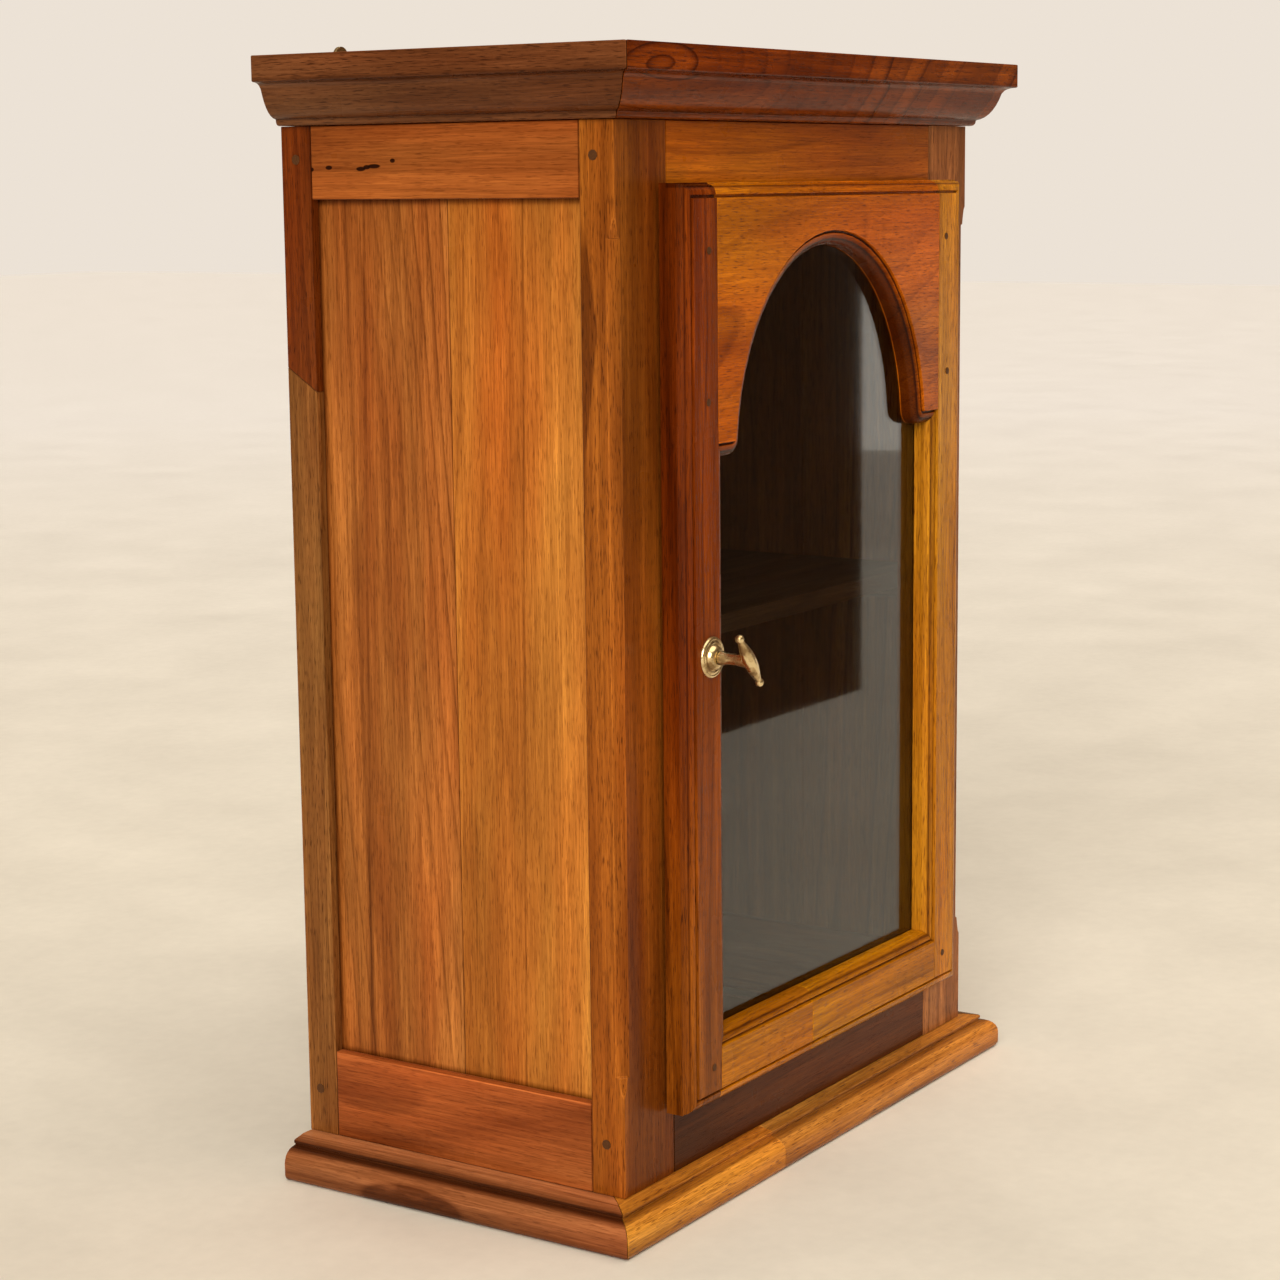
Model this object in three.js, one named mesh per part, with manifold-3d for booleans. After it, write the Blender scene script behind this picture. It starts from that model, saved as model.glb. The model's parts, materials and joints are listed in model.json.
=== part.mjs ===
// A small glazed display case: a joined hardwood carcase with a moulded base and cornice, one door with
// an arched top rail, butt hinges and a turning T-knob. Millimetres, +Z up, the door faces -Y, and the
// origin is the middle of the carcase on the underside of the base.

import * as THREE from 'three';
import { mergeVertices } from 'three/addons/utils/BufferGeometryUtils.js';
import Module from 'manifold-3d';

const wasm = await Module();
wasm.setup();

// Overall sizes, the clearance left in every joint, and how far brass is let in below a surface.
const HEIGHT = 701.5;
const CARCASE_WIDTH = 436.8;
const CARCASE_DEPTH = 242;
const BASE_HEIGHT = 26;
const CORNICE_HEIGHT = 41.3;
const GAP = 0.3;
const SINK = 0.1;

// How far the mouldings stand out past the carcase, and how wide their strips are.
const BASE_SIDE_OVERHANG = 27;
const BASE_FRONT_OVERHANG = 19.3;
const CORNICE_SIDE_OVERHANG = 26;
const CORNICE_FRONT_OVERHANG = 27;
const STRIP_WIDTH = 46;
const BOARD_THICKNESS = 18;
const BASE_JOIN_X = -62;

// Posts, rails and panels.
const FRONT_POST_WIDTH = 54.4;
const FRONT_POST_DEPTH = 23.5;
const REAR_POST_WIDTH = 40;
const REAR_POST_DEPTH = 22.5;
const SIDE_RAIL_THICKNESS = 20;
const TOP_RAIL_HEIGHT = 43.9;
const BOTTOM_RAIL_HEIGHT = 55.5;
const FACE_TOP_RAIL_HEIGHT = 48;
const FACE_BOTTOM_RAIL_HEIGHT = 54;
const PANEL_THICKNESS = 8;
const PANEL_RECESS = 6.5;
const GROOVE_DEPTH = 6;
const TENON_THICKNESS = 8;
const TENON_SHOULDER = 12;
const SIDE_TENON_INSET = 5;
const FRONT_POST_TENON = 15;
const REAR_POST_TENON = 17;
const FACE_TENON_LENGTH = 30;
const FACE_TENON_INSET = 8;
const BACK_TENON_LENGTH = 24;
const BACK_TENON_INSET = 15;
const PANEL_JOIN_Y = 1;
const SCARF_OUTER_Z = 515;
const SCARF_INNER_Z = 499;

// The stopped chamfer on the outer arris of each front post.
const CHAMFER = 5.6;
const CHAMFER_TOP = 593.5;
const CHAMFER_BOTTOM = 100.5;
const CHAMFER_TONGUE_LENGTH = 12.5;
const CHAMFER_TONGUE_WIDTH = 3.6;

// The door, which lies against the front of the carcase.
const DOOR_HALF_WIDTH = 176;
const DOOR_BOTTOM = 68;
const DOOR_TOP = 624;
const DOOR_THICKNESS = 18;
const DOOR_STANDOFF = 2.6;
const OPENING_HALF_WIDTH = 140.8;
const OPENING_BOTTOM = 103.2;
const SHOULDER_Z = 472;
const ARCH_CENTRE_Z = 461;
const ARCH_HALF_WIDTH = 121;
const ARCH_RISE = 133;
const ARCH_HEEL_RADIUS = 2;
const SIGHT_MOULDING = 8.8;
const DOOR_RAIL_JOIN_X = -29;
const REBATE_WIDTH = 6;
const REBATE_DEPTH = 4.4;
const REBATE_TOP = 598;
const GLASS_THICKNESS = 2.4;
const BEAD_THICKNESS = 4.5;
const DOOR_TENON_FACE = 15;
const DOOR_TENON_BACK = 8.6;
const DOOR_TENON_END = 12;
const TOP_TENON_LOWER_SHOULDER = 14;
const TOP_TENON_UPPER_SHOULDER = 18;

// How finely the curves are stepped.
const OVOLO_STEPS = 4;
const FOOT_STEPS = 6;
const ARCH_STEPS = 28;
const HEEL_STEPS = 4;

// The shelf and the block that the latch turns behind.
const SHELF_THICKNESS = 12;
const SHELF_TOP = 357;
const CLEAT_SIZE = 12;
const KEEPER_WIDTH = 6.2;
const KEEPER_DEPTH = 4.5;
const KEEPER_SETBACK = 0.4;
const KEEPER_HEIGHT = 40;

// Brass fittings.
const KNOB_X = -150.7;
const KNOB_Z = 345.8;
const KNOB_TILT = THREE.MathUtils.degToRad(37.5);
const KNOB_REACH = 26.5;
const BALL_SPACING = 36.6;
const BALL_RADIUS = 2.7;
const SPINDLE_SIZE = 5;
const SPINDLE_BORE_RADIUS = 4;
const SPINDLE_END = 2.2;
const LATCH_THICKNESS = 2.5;
const LATCH_WIDTH = 8;
const LATCH_HEEL = 4.5;
const LATCH_Y = -114.25;
const LATCH_REACH = 10.5;
const HINGE_X = 181;
const HINGE_Y = -125.6;
const HINGE_HEIGHT = 50;
const HINGE_CENTRES = { upper: 560, lower: 132 };
const KNUCKLE_RADIUS = 4;
const HINGE_PIN_RADIUS = 1.5;
const LEAF_THICKNESS = 1.2;
const LEAF_OVERRUN = 3;
const FRAME_LEAF_REACH = 16;
const DOOR_LEAF_REACH = 25.6;
const PIN_OVERRUN = 0.5;
const PIN_HEAD_RADIUS = 3.4;
const PIN_HEAD_LENGTH = 1.6;
const HANGER_X = 158;
const HANGER_RADIUS = 6.5;
const HANGER_DROP = 60;
const HANGER_RISE = 1.5;
const HANGER_HOLE_RADIUS = 2.4;
const HANGER_HOLE_RISE = 2;
const HANGER_THICKNESS = 2;

// Planes that several pieces share.
const sideX = CARCASE_WIDTH / 2;
const frontY = -CARCASE_DEPTH / 2;
const backY = CARCASE_DEPTH / 2;
const footZ = BASE_HEIGHT + GAP;
const headZ = HEIGHT - CORNICE_HEIGHT - GAP;
const postX = sideX - FRONT_POST_WIDTH;
const rearPostX = sideX - REAR_POST_WIDTH;
const postY = frontY + FRONT_POST_DEPTH;
const rearPostY = backY - REAR_POST_DEPTH;
const panelX = sideX - PANEL_RECESS;
const panelBottom = footZ + BOTTOM_RAIL_HEIGHT;
const panelTop = headZ - TOP_RAIL_HEIGHT;
const doorBackY = frontY - DOOR_STANDOFF;
const doorFaceY = doorBackY - DOOR_THICKNESS;

// ---------------------------------------------------------------------------------------------------
// Solids

/** Turns a closed three.js geometry into a solid. */
function solidOf(geometry) {
  const bare = geometry.clone();
  bare.deleteAttribute('normal');
  bare.deleteAttribute('uv');
  const merged = mergeVertices(bare, 1e-3);
  const vertProperties = new Float32Array(merged.attributes.position.array);
  const triVerts = new Uint32Array(merged.index.array);
  return new wasm.Manifold(new wasm.Mesh({ numProp: 3, vertProperties, triVerts }));
}

/** Turns a solid back into a three.js geometry with flat faces. */
function geometryOf(solid) {
  const { vertProperties, triVerts } = solid.getMesh();
  const indexed = new THREE.BufferGeometry();
  indexed.setAttribute('position', new THREE.BufferAttribute(vertProperties, 3));
  indexed.setIndex(new THREE.BufferAttribute(triVerts, 1));
  const geometry = indexed.toNonIndexed();
  geometry.computeVertexNormals();
  return geometry;
}

/** A block between two limits along each axis. */
function block([x0, x1], [y0, y1], [z0, z1]) {
  const geometry = new THREE.BoxGeometry(x1 - x0, y1 - y0, z1 - z0);
  geometry.translate((x0 + x1) / 2, (y0 + y1) / 2, (z0 + z1) / 2);
  return solidOf(geometry);
}

/** The room that a block needs in its neighbour, with the joint's clearance all round. */
function roomFor(...limits) {
  return block(...limits.map(([low, high]) => [low - GAP, high + GAP]));
}

/** An outline in the XY plane, raised along Z. */
function uprightPrism(outline, z0, z1) {
  const shape = new THREE.Shape(outline.map(([x, y]) => new THREE.Vector2(x, y)));
  const geometry = new THREE.ExtrudeGeometry(shape, { depth: z1 - z0, bevelEnabled: false });
  geometry.translate(0, 0, z0);
  return solidOf(geometry);
}

/** An outline in the XZ plane, carried along Y. */
function frontPrism(outline, y0, y1) {
  const shape = new THREE.Shape(outline.map(([x, z]) => new THREE.Vector2(x, z)));
  const geometry = new THREE.ExtrudeGeometry(shape, { depth: y1 - y0, bevelEnabled: false });
  geometry.rotateX(Math.PI / 2);
  geometry.translate(0, y1, 0);
  return solidOf(geometry);
}

/** An outline in the YZ plane, carried along X. */
function sidePrism(outline, x0, x1) {
  const shape = new THREE.Shape(outline.map(([y, z]) => new THREE.Vector2(y, z)));
  const geometry = new THREE.ExtrudeGeometry(shape, { depth: x1 - x0, bevelEnabled: false });
  geometry.rotateX(Math.PI / 2);
  geometry.rotateZ(Math.PI / 2);
  geometry.translate(x0, 0, 0);
  return solidOf(geometry);
}

/** A round bar along Y or Z. */
function roundBar(axis, radius, x, y, z, length, sides = 24) {
  const geometry = new THREE.CylinderGeometry(radius, radius, length, sides);
  if (axis === 'z') {
    geometry.rotateX(Math.PI / 2);
  }
  geometry.translate(x, y, z);
  return solidOf(geometry);
}

/** A turned solid, its profile given as [radius, distance] pairs along an axis that points at -Y. */
function turned(profile, x, y, z, sides = 32) {
  const points = profile.map(([radius, distance]) => new THREE.Vector2(radius, distance));
  const geometry = new THREE.LatheGeometry(points, sides);
  geometry.rotateX(Math.PI);
  geometry.translate(x, y, z);
  return solidOf(geometry);
}

/** Joins level rings into a closed, capped skin. They rise along +Z, or advance along -Y. */
function loft(rings) {
  const size = rings[0].length;
  const rises = rings[0].every(([, , z]) => z === rings[0][0][2]);
  const positions = rings.flat(2);
  const index = [];
  for (let ring = 0; ring + 1 < rings.length; ring += 1) {
    for (let corner = 0; corner < size; corner += 1) {
      const a = ring * size + corner;
      const b = ring * size + ((corner + 1) % size);
      index.push(a, b, b + size, a, b + size, a + size);
    }
  }
  const flat = rings[0].map(([x, y, z]) => new THREE.Vector2(x, rises ? y : z));
  const last = (rings.length - 1) * size;
  for (const [a, b, c] of THREE.ShapeUtils.triangulateShape(flat, [])) {
    index.push(c, b, a, last + a, last + b, last + c);
  }
  const geometry = new THREE.BufferGeometry();
  geometry.setAttribute('position', new THREE.Float32BufferAttribute(positions, 3));
  geometry.setIndex(index);
  return solidOf(geometry);
}

// ---------------------------------------------------------------------------------------------------
// Materials and the list of pieces

const displayCase = new THREE.Group();

const finishes = {
  walnut: { color: 0x9a5426, roughness: 0.35, metalness: 0 },
  darkWalnut: { color: 0x6e3a1c, roughness: 0.35, metalness: 0 },
  oliveWalnut: { color: 0x6d4a26, roughness: 0.4, metalness: 0 },
  redWalnut: { color: 0x6b2c16, roughness: 0.35, metalness: 0 },
  paleWalnut: { color: 0xb06a30, roughness: 0.35, metalness: 0 },
  rawBoard: { color: 0x8a6038, roughness: 0.7, metalness: 0 },
  glass: { color: 0x9fb0ac, roughness: 0.05, metalness: 0 },
  brass: { color: 0x9c7a3c, roughness: 0.35, metalness: 1 },
};

/** Adds one named piece, with a material of its own. */
function add(name, finish, solid) {
  const mesh = new THREE.Mesh(geometryOf(solid), new THREE.MeshStandardMaterial(finishes[finish]));
  mesh.name = name;
  displayCase.add(mesh);
}

// ---------------------------------------------------------------------------------------------------
// Base and cornice: strips mitred at the two front corners round a board

/** A slab whose front and two sides follow a moulding profile of [inset, height] pairs, back flat. */
function mouldedSlab(profile, sideOverhang, frontOverhang) {
  const outerX = sideX + sideOverhang;
  const outerY = frontY - frontOverhang;
  return loft(profile.map(([inset, z]) => [
    [-outerX + inset, outerY + inset, z],
    [outerX - inset, outerY + inset, z],
    [outerX - inset, backY, z],
    [-outerX + inset, backY, z],
  ]));
}

/** Cuts the slab into strips and adds them with the plain back rail and the board that they hold. */
function addMouldedFrame(names, slab, sideOverhang, frontOverhang, z0, z1, boardZ) {
  const outerX = sideX + sideOverhang;
  const outerY = frontY - frontOverhang;
  const innerX = outerX - STRIP_WIDTH;
  const innerY = outerY + STRIP_WIDTH;
  const half = GAP / 2;
  const front = uprightPrism([
    [-outerX + half, outerY - half],
    [outerX - half, outerY - half],
    [innerX - half, innerY - half],
    [-innerX + half, innerY - half],
  ], z0, z1);
  const left = uprightPrism([
    [-outerX - half, outerY + half],
    [-innerX - half, innerY + half],
    [-innerX - half, backY],
    [-outerX - half, backY],
  ], z0, z1);
  const frontStrip = slab.intersect(front);
  if (names.front.length === 1) {
    add(names.front[0], 'walnut', frontStrip);
  } else {
    const farX = outerX + 1;
    const rightOfJoin = block([BASE_JOIN_X - half, farX], [outerY - 1, backY], [z0, z1]);
    const leftOfJoin = block([-farX, BASE_JOIN_X + half], [outerY - 1, backY], [z0, z1]);
    add(names.front[0], 'walnut', frontStrip.subtract(rightOfJoin));
    add(names.front[1], 'walnut', frontStrip.subtract(leftOfJoin));
  }
  const leftStrip = slab.intersect(left);
  add(names.left, 'walnut', leftStrip);
  add(names.right, 'walnut', leftStrip.mirror([1, 0, 0]));
  const insideX = innerX - GAP;
  add(names.back, 'darkWalnut', block([-insideX, insideX], [rearPostY, backY], [z0, z1]));
  add(names.board, 'rawBoard', block([-insideX, insideX], [innerY + GAP, rearPostY - GAP], boardZ));
}

/** Base moulding: a square foot, an ovolo, a quirk, and a ledge that falls away from the carcase. */
function baseProfile() {
  const profile = [[3.2, 0], [1.2, 0.9], [0.2, 2.6], [0, 4]];
  for (let step = 0; step <= FOOT_STEPS; step += 1) {
    const angle = (step / FOOT_STEPS) * Math.PI / 2;
    profile.push([9.6 * (1 - Math.cos(angle)), 11 + 9.6 * Math.sin(angle)]);
  }
  profile.push([10.8, 20.9], [10.8, 21.7], [9.8, 22.1], [9.8, 23.8], [10.4, 24.3], [19, BASE_HEIGHT]);
  return profile;
}

/** Cornice moulding: a small bead against the carcase, a full ovolo, a tight cove and a deep fillet. */
function corniceProfile() {
  const bottom = HEIGHT - CORNICE_HEIGHT;
  const overhang = CORNICE_SIDE_OVERHANG;
  const ovolo = new THREE.QuadraticBezierCurve(
    new THREE.Vector2(overhang - 5, bottom + 3.8),
    new THREE.Vector2(overhang - 13.4, bottom + 5.2),
    new THREE.Vector2(8, bottom + 21.8),
  );
  const cove = new THREE.QuadraticBezierCurve(
    new THREE.Vector2(7.6, bottom + 22.2),
    new THREE.Vector2(6.2, bottom + 25.4),
    new THREE.Vector2(0.6, bottom + 25.7),
  );
  const curve = [...ovolo.getPoints(7), ...cove.getPoints(4)].map((point) => [point.x, point.y]);
  const bead = [[overhang - 2.6, 0], [overhang - 3.7, 0.4], [overhang - 4.5, 1.4], [overhang - 4.8, 2.6]];
  const foot = bead.map(([inset, rise]) => [inset, bottom + rise]);
  return [...foot, ...curve, [0, bottom + 26], [0, HEIGHT]];
}

function addBase() {
  const names = {
    front: ['base_front_left_moulding', 'base_front_right_moulding'],
    left: 'base_left_moulding',
    right: 'base_right_moulding',
    back: 'base_back_rail',
    board: 'bottom_board',
  };
  const slab = mouldedSlab(baseProfile(), BASE_SIDE_OVERHANG, BASE_FRONT_OVERHANG);
  const boardZ = [0, BOARD_THICKNESS];
  addMouldedFrame(names, slab, BASE_SIDE_OVERHANG, BASE_FRONT_OVERHANG, 0, BASE_HEIGHT, boardZ);
}

function addCornice() {
  const names = {
    front: ['cornice_front'],
    left: 'cornice_left',
    right: 'cornice_right',
    back: 'cornice_back_rail',
    board: 'top_board',
  };
  const bottom = HEIGHT - CORNICE_HEIGHT;
  const slab = mouldedSlab(corniceProfile(), CORNICE_SIDE_OVERHANG, CORNICE_FRONT_OVERHANG);
  const boardZ = [HEIGHT - BOARD_THICKNESS, HEIGHT];
  addMouldedFrame(names, slab, CORNICE_SIDE_OVERHANG, CORNICE_FRONT_OVERHANG, bottom, HEIGHT, boardZ);
}

// ---------------------------------------------------------------------------------------------------
// Carcase: posts grooved for the panels and mortised for the rails

const groovedY = [postY - GROOVE_DEPTH, rearPostY + GROOVE_DEPTH];
const panelZ = [panelBottom - GROOVE_DEPTH, panelTop + GROOVE_DEPTH];
const sidePanelX = [-panelX, -panelX + PANEL_THICKNESS];
const backPanelX = [-rearPostX - GROOVE_DEPTH, rearPostX + GROOVE_DEPTH];
const backPanelY = [backY - PANEL_RECESS - PANEL_THICKNESS, backY - PANEL_RECESS];

const sideTenonX = [-sideX + SIDE_TENON_INSET, -sideX + SIDE_TENON_INSET + TENON_THICKNESS];
const sideTenonY = [postY - FRONT_POST_TENON, rearPostY + REAR_POST_TENON];
const faceTenonX = [-postX - FACE_TENON_LENGTH, postX + FACE_TENON_LENGTH];
const faceTenonY = [frontY + FACE_TENON_INSET, frontY + FACE_TENON_INSET + TENON_THICKNESS];
const backTenonX = [-rearPostX - BACK_TENON_LENGTH, rearPostX + BACK_TENON_LENGTH];
const backTenonY = [backY - BACK_TENON_INSET, backY - BACK_TENON_INSET + TENON_THICKNESS];
const topTenonZ = [headZ - TOP_RAIL_HEIGHT + TENON_SHOULDER, headZ - TENON_SHOULDER / 2];
const bottomTenonZ = [footZ + TENON_SHOULDER / 2, footZ + BOTTOM_RAIL_HEIGHT - TENON_SHOULDER];

/** The cutter for one stopped chamfer: a wedge that steps down at each end to a fading tongue. */
function chamferCutter() {
  const steps = 5;
  const tongue = [];
  for (let step = 0; step <= steps; step += 1) {
    const along = step / steps;
    tongue.push([along * CHAMFER_TONGUE_LENGTH, CHAMFER_TONGUE_WIDTH * Math.sqrt(1 - along) - 0.2 * along]);
  }
  const lower = tongue.map(([reach, width]) => [CHAMFER_BOTTOM - reach, width]).reverse();
  const upper = tongue.map(([reach, width]) => [CHAMFER_TOP + reach, width]);
  const full = [[CHAMFER_BOTTOM + 0.4, CHAMFER], [CHAMFER_TOP - 0.4, CHAMFER]];
  return loft([...lower, ...full, ...upper].map(([z, width]) => [
    [-sideX - 1, frontY - 1, z],
    [-sideX + width + 1, frontY - 1, z],
    [-sideX - 1, frontY + width + 1, z],
  ]));
}

function leftFrontPost() {
  return block([-sideX, -postX], [frontY, postY], [footZ, headZ])
    .subtract(chamferCutter())
    .subtract(roomFor(sidePanelX, groovedY, panelZ))
    .subtract(roomFor(sideTenonX, sideTenonY, topTenonZ))
    .subtract(roomFor(sideTenonX, sideTenonY, bottomTenonZ))
    .subtract(roomFor(faceTenonX, faceTenonY, topTenonZ))
    .subtract(roomFor(faceTenonX, faceTenonY, bottomTenonZ));
}

function leftRearPost() {
  return block([-sideX, -rearPostX], [rearPostY, backY], [footZ, headZ])
    .subtract(roomFor(sidePanelX, groovedY, panelZ))
    .subtract(roomFor(backPanelX, backPanelY, panelZ))
    .subtract(roomFor(sideTenonX, sideTenonY, topTenonZ))
    .subtract(roomFor(sideTenonX, sideTenonY, bottomTenonZ))
    .subtract(roomFor(backTenonX, backTenonY, topTenonZ))
    .subtract(roomFor(backTenonX, backTenonY, bottomTenonZ));
}

function addPosts() {
  const frontPost = leftFrontPost();
  const hingeRooms = frameLeafRooms();
  add('front_left_post', 'walnut', frontPost);
  add('front_right_post', 'walnut', frontPost.mirror([1, 0, 0]).subtract(hingeRooms));
  const rearPost = leftRearPost();
  const seam = [[rearPostY - 1, SCARF_INNER_Z], [backY + 1, SCARF_OUTER_Z]];
  const below = [[backY + 1, 0], [rearPostY - 1, 0]];
  const above = [[backY + 1, HEIGHT], [rearPostY - 1, HEIGHT]];
  const raised = seam.map(([y, z]) => [y, z + GAP]);
  const reach = [-sideX - 1, -rearPostX + 1];
  add('rear_left_post_lower', 'oliveWalnut', rearPost.intersect(sidePrism([...seam, ...below], ...reach)));
  add('rear_left_post_upper', 'redWalnut', rearPost.intersect(sidePrism([...raised, ...above], ...reach)));
  add('rear_right_post', 'walnut', rearPost.mirror([1, 0, 0]));
}

/** A side rail between its two posts, with a tenon at each end and a groove for the panel. */
function sideRail(railZ, tenonZ) {
  return block([-sideX, -sideX + SIDE_RAIL_THICKNESS], [postY + GAP, rearPostY - GAP], railZ)
    .add(block(sideTenonX, sideTenonY, tenonZ))
    .subtract(roomFor(sidePanelX, groovedY, panelZ));
}

/** A rail across the back, made the same way. */
function backRail(railZ, tenonZ) {
  return block([-rearPostX + GAP, rearPostX - GAP], [rearPostY, backY], railZ)
    .add(block(backTenonX, backTenonY, tenonZ))
    .subtract(roomFor(backPanelX, backPanelY, panelZ));
}

/** A rail across the front, behind the door. */
function faceRail(railZ, tenonZ) {
  return block([-postX + GAP, postX - GAP], [frontY, postY], railZ)
    .add(block(faceTenonX, faceTenonY, tenonZ));
}

function addRails() {
  const topZ = [panelTop, headZ];
  const bottomZ = [footZ, panelBottom];
  const topRail = sideRail(topZ, topTenonZ);
  const bottomRail = sideRail(bottomZ, bottomTenonZ);
  add('left_top_rail', 'walnut', topRail);
  add('left_bottom_rail', 'walnut', bottomRail);
  add('right_top_rail', 'walnut', topRail.mirror([1, 0, 0]));
  add('right_bottom_rail', 'walnut', bottomRail.mirror([1, 0, 0]));
  add('back_top_rail', 'darkWalnut', backRail(topZ, topTenonZ));
  add('back_bottom_rail', 'darkWalnut', backRail(bottomZ, bottomTenonZ));
  add('front_top_rail', 'walnut', faceRail([headZ - FACE_TOP_RAIL_HEIGHT, headZ], topTenonZ));
  add('front_bottom_rail', 'darkWalnut', faceRail([footZ, footZ + FACE_BOTTOM_RAIL_HEIGHT], bottomTenonZ));
}

function addPanels() {
  const sides = [
    ['left', 1],
    ['right', -1],
  ];
  const halves = [
    ['front', 'paleWalnut', [groovedY[0], PANEL_JOIN_Y - GAP / 2]],
    ['rear', 'darkWalnut', [PANEL_JOIN_Y + GAP / 2, groovedY[1]]],
  ];
  for (const [side, direction] of sides) {
    for (const [half, finish, limitsY] of halves) {
      const board = block(sidePanelX, limitsY, panelZ);
      add(`${side}_panel_${half}_board`, finish, direction > 0 ? board : board.mirror([1, 0, 0]));
    }
  }
  const boards = 3;
  const width = (backPanelX[1] - backPanelX[0]) / boards;
  for (let number = 0; number < boards; number += 1) {
    const from = backPanelX[0] + number * width;
    const limitsX = [from + GAP / 2, from + width - GAP / 2];
    add(`back_board_${number + 1}`, 'rawBoard', block(limitsX, backPanelY, panelZ));
  }
}

function addInterior() {
  const endX = panelX - PANEL_THICKNESS - GAP;
  const shelfBottom = SHELF_TOP - SHELF_THICKNESS;
  const limitsY = [postY + GAP, rearPostY - GAP];
  const cleatZ = [shelfBottom - GAP - CLEAT_SIZE, shelfBottom - GAP];
  const cleat = block([-endX, -endX + CLEAT_SIZE], limitsY, cleatZ);
  add('shelf', 'rawBoard', block([-endX, endX], limitsY, [shelfBottom, SHELF_TOP]));
  add('left_shelf_cleat', 'rawBoard', cleat);
  add('right_shelf_cleat', 'rawBoard', cleat.mirror([1, 0, 0]));
  const keeperX = [-postX + GAP, -postX + GAP + KEEPER_WIDTH];
  const keeperY = [frontY + KEEPER_SETBACK, frontY + KEEPER_SETBACK + KEEPER_DEPTH];
  const keeperZ = [KNOB_Z - KEEPER_HEIGHT / 2, KNOB_Z + KEEPER_HEIGHT / 2];
  add('latch_keeper', 'walnut', block(keeperX, keeperY, keeperZ));
}

// ---------------------------------------------------------------------------------------------------
// Door

/** The door before it is opened up: a board with a fillet and a quirked ovolo round its face. */
function doorSlab() {
  const profile = [[0, 0], [0, 11.2], [0.8, 11.6]];
  for (let step = 1; step <= OVOLO_STEPS; step += 1) {
    const angle = (step / OVOLO_STEPS) * Math.PI / 2;
    profile.push([0.8 + 6 * (1 - Math.cos(angle)), 11.8 + 5.4 * Math.sin(angle)]);
  }
  profile.push([7.4, 15.6], [8.6, 15.6], [9, DOOR_THICKNESS]);
  return loft(profile.map(([inset, depth]) => {
    const x = DOOR_HALF_WIDTH - inset;
    const y = doorBackY - depth;
    return [
      [-x, y, DOOR_TOP - inset],
      [-x, y, DOOR_BOTTOM + inset],
      [x, y, DOOR_BOTTOM + inset],
      [x, y, DOOR_TOP - inset],
    ];
  }));
}

/** The glazed opening's outline, drawn in by an inset: square below, shouldered and arched above. */
function openingOutline(inset) {
  const outline = [[OPENING_HALF_WIDTH - inset, OPENING_BOTTOM + inset]];
  outline.push([OPENING_HALF_WIDTH - inset, SHOULDER_Z - inset]);
  const heelZ = SHOULDER_Z + ARCH_HEEL_RADIUS;
  const startAngle = Math.asin((heelZ - ARCH_CENTRE_Z) / ARCH_RISE);
  const heelX = ARCH_HALF_WIDTH * Math.cos(startAngle) + ARCH_HEEL_RADIUS;
  for (let step = 0; step < HEEL_STEPS; step += 1) {
    const angle = -Math.PI / 2 - (step / HEEL_STEPS) * (Math.PI / 2);
    const radius = ARCH_HEEL_RADIUS + inset;
    outline.push([heelX + radius * Math.cos(angle), heelZ + radius * Math.sin(angle)]);
  }
  const belowArch = outline.length;
  for (let step = 0; step <= ARCH_STEPS; step += 1) {
    const angle = startAngle + (step / ARCH_STEPS) * (Math.PI - 2 * startAngle);
    const normal = new THREE.Vector2(Math.cos(angle) / ARCH_HALF_WIDTH, Math.sin(angle) / ARCH_RISE);
    normal.normalize();
    const x = ARCH_HALF_WIDTH * Math.cos(angle) - inset * normal.x;
    const z = ARCH_CENTRE_Z + ARCH_RISE * Math.sin(angle) - inset * normal.y;
    outline.push([x, z]);
  }
  const mirrored = outline.slice(0, belowArch).map(([x, z]) => [-x, z]);
  return [...outline, ...mirrored.reverse()];
}

/** The opening cut through the door, with the sight moulding on its edge. */
function openingCutter() {
  const profile = [[SIGHT_MOULDING, -1], [SIGHT_MOULDING, 10.4]];
  for (let step = 1; step <= OVOLO_STEPS; step += 1) {
    const angle = (step / OVOLO_STEPS) * Math.PI / 2;
    profile.push([SIGHT_MOULDING - 6.8 * (1 - Math.cos(angle)), 10.4 + 6 * Math.sin(angle)]);
  }
  profile.push([1.5, 15.4], [0.5, 15.4], [0, DOOR_THICKNESS], [0, DOOR_THICKNESS + 1]);
  return loft(profile.map(([inset, depth]) => (
    openingOutline(inset).map(([x, z]) => [x, doorBackY - depth, z])
  )));
}

const sightX = OPENING_HALF_WIDTH - SIGHT_MOULDING;
const sightBottom = OPENING_BOTTOM + SIGHT_MOULDING;
const rebateX = sightX + REBATE_WIDTH;
const rebateBottom = sightBottom - REBATE_WIDTH;

/** The share of the door that is the left stile: its edge follows the mitres of the sight moulding. */
function stileOutline(growth) {
  const x = -OPENING_HALF_WIDTH + growth;
  return [
    [-DOOR_HALF_WIDTH - 1, DOOR_BOTTOM - 1],
    [x, DOOR_BOTTOM - 1],
    [x, OPENING_BOTTOM],
    [x + SIGHT_MOULDING, sightBottom],
    [x + SIGHT_MOULDING, SHOULDER_Z - SIGHT_MOULDING],
    [x, SHOULDER_Z],
    [x, DOOR_TOP + 1],
    [-DOOR_HALF_WIDTH - 1, DOOR_TOP + 1],
  ];
}

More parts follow.
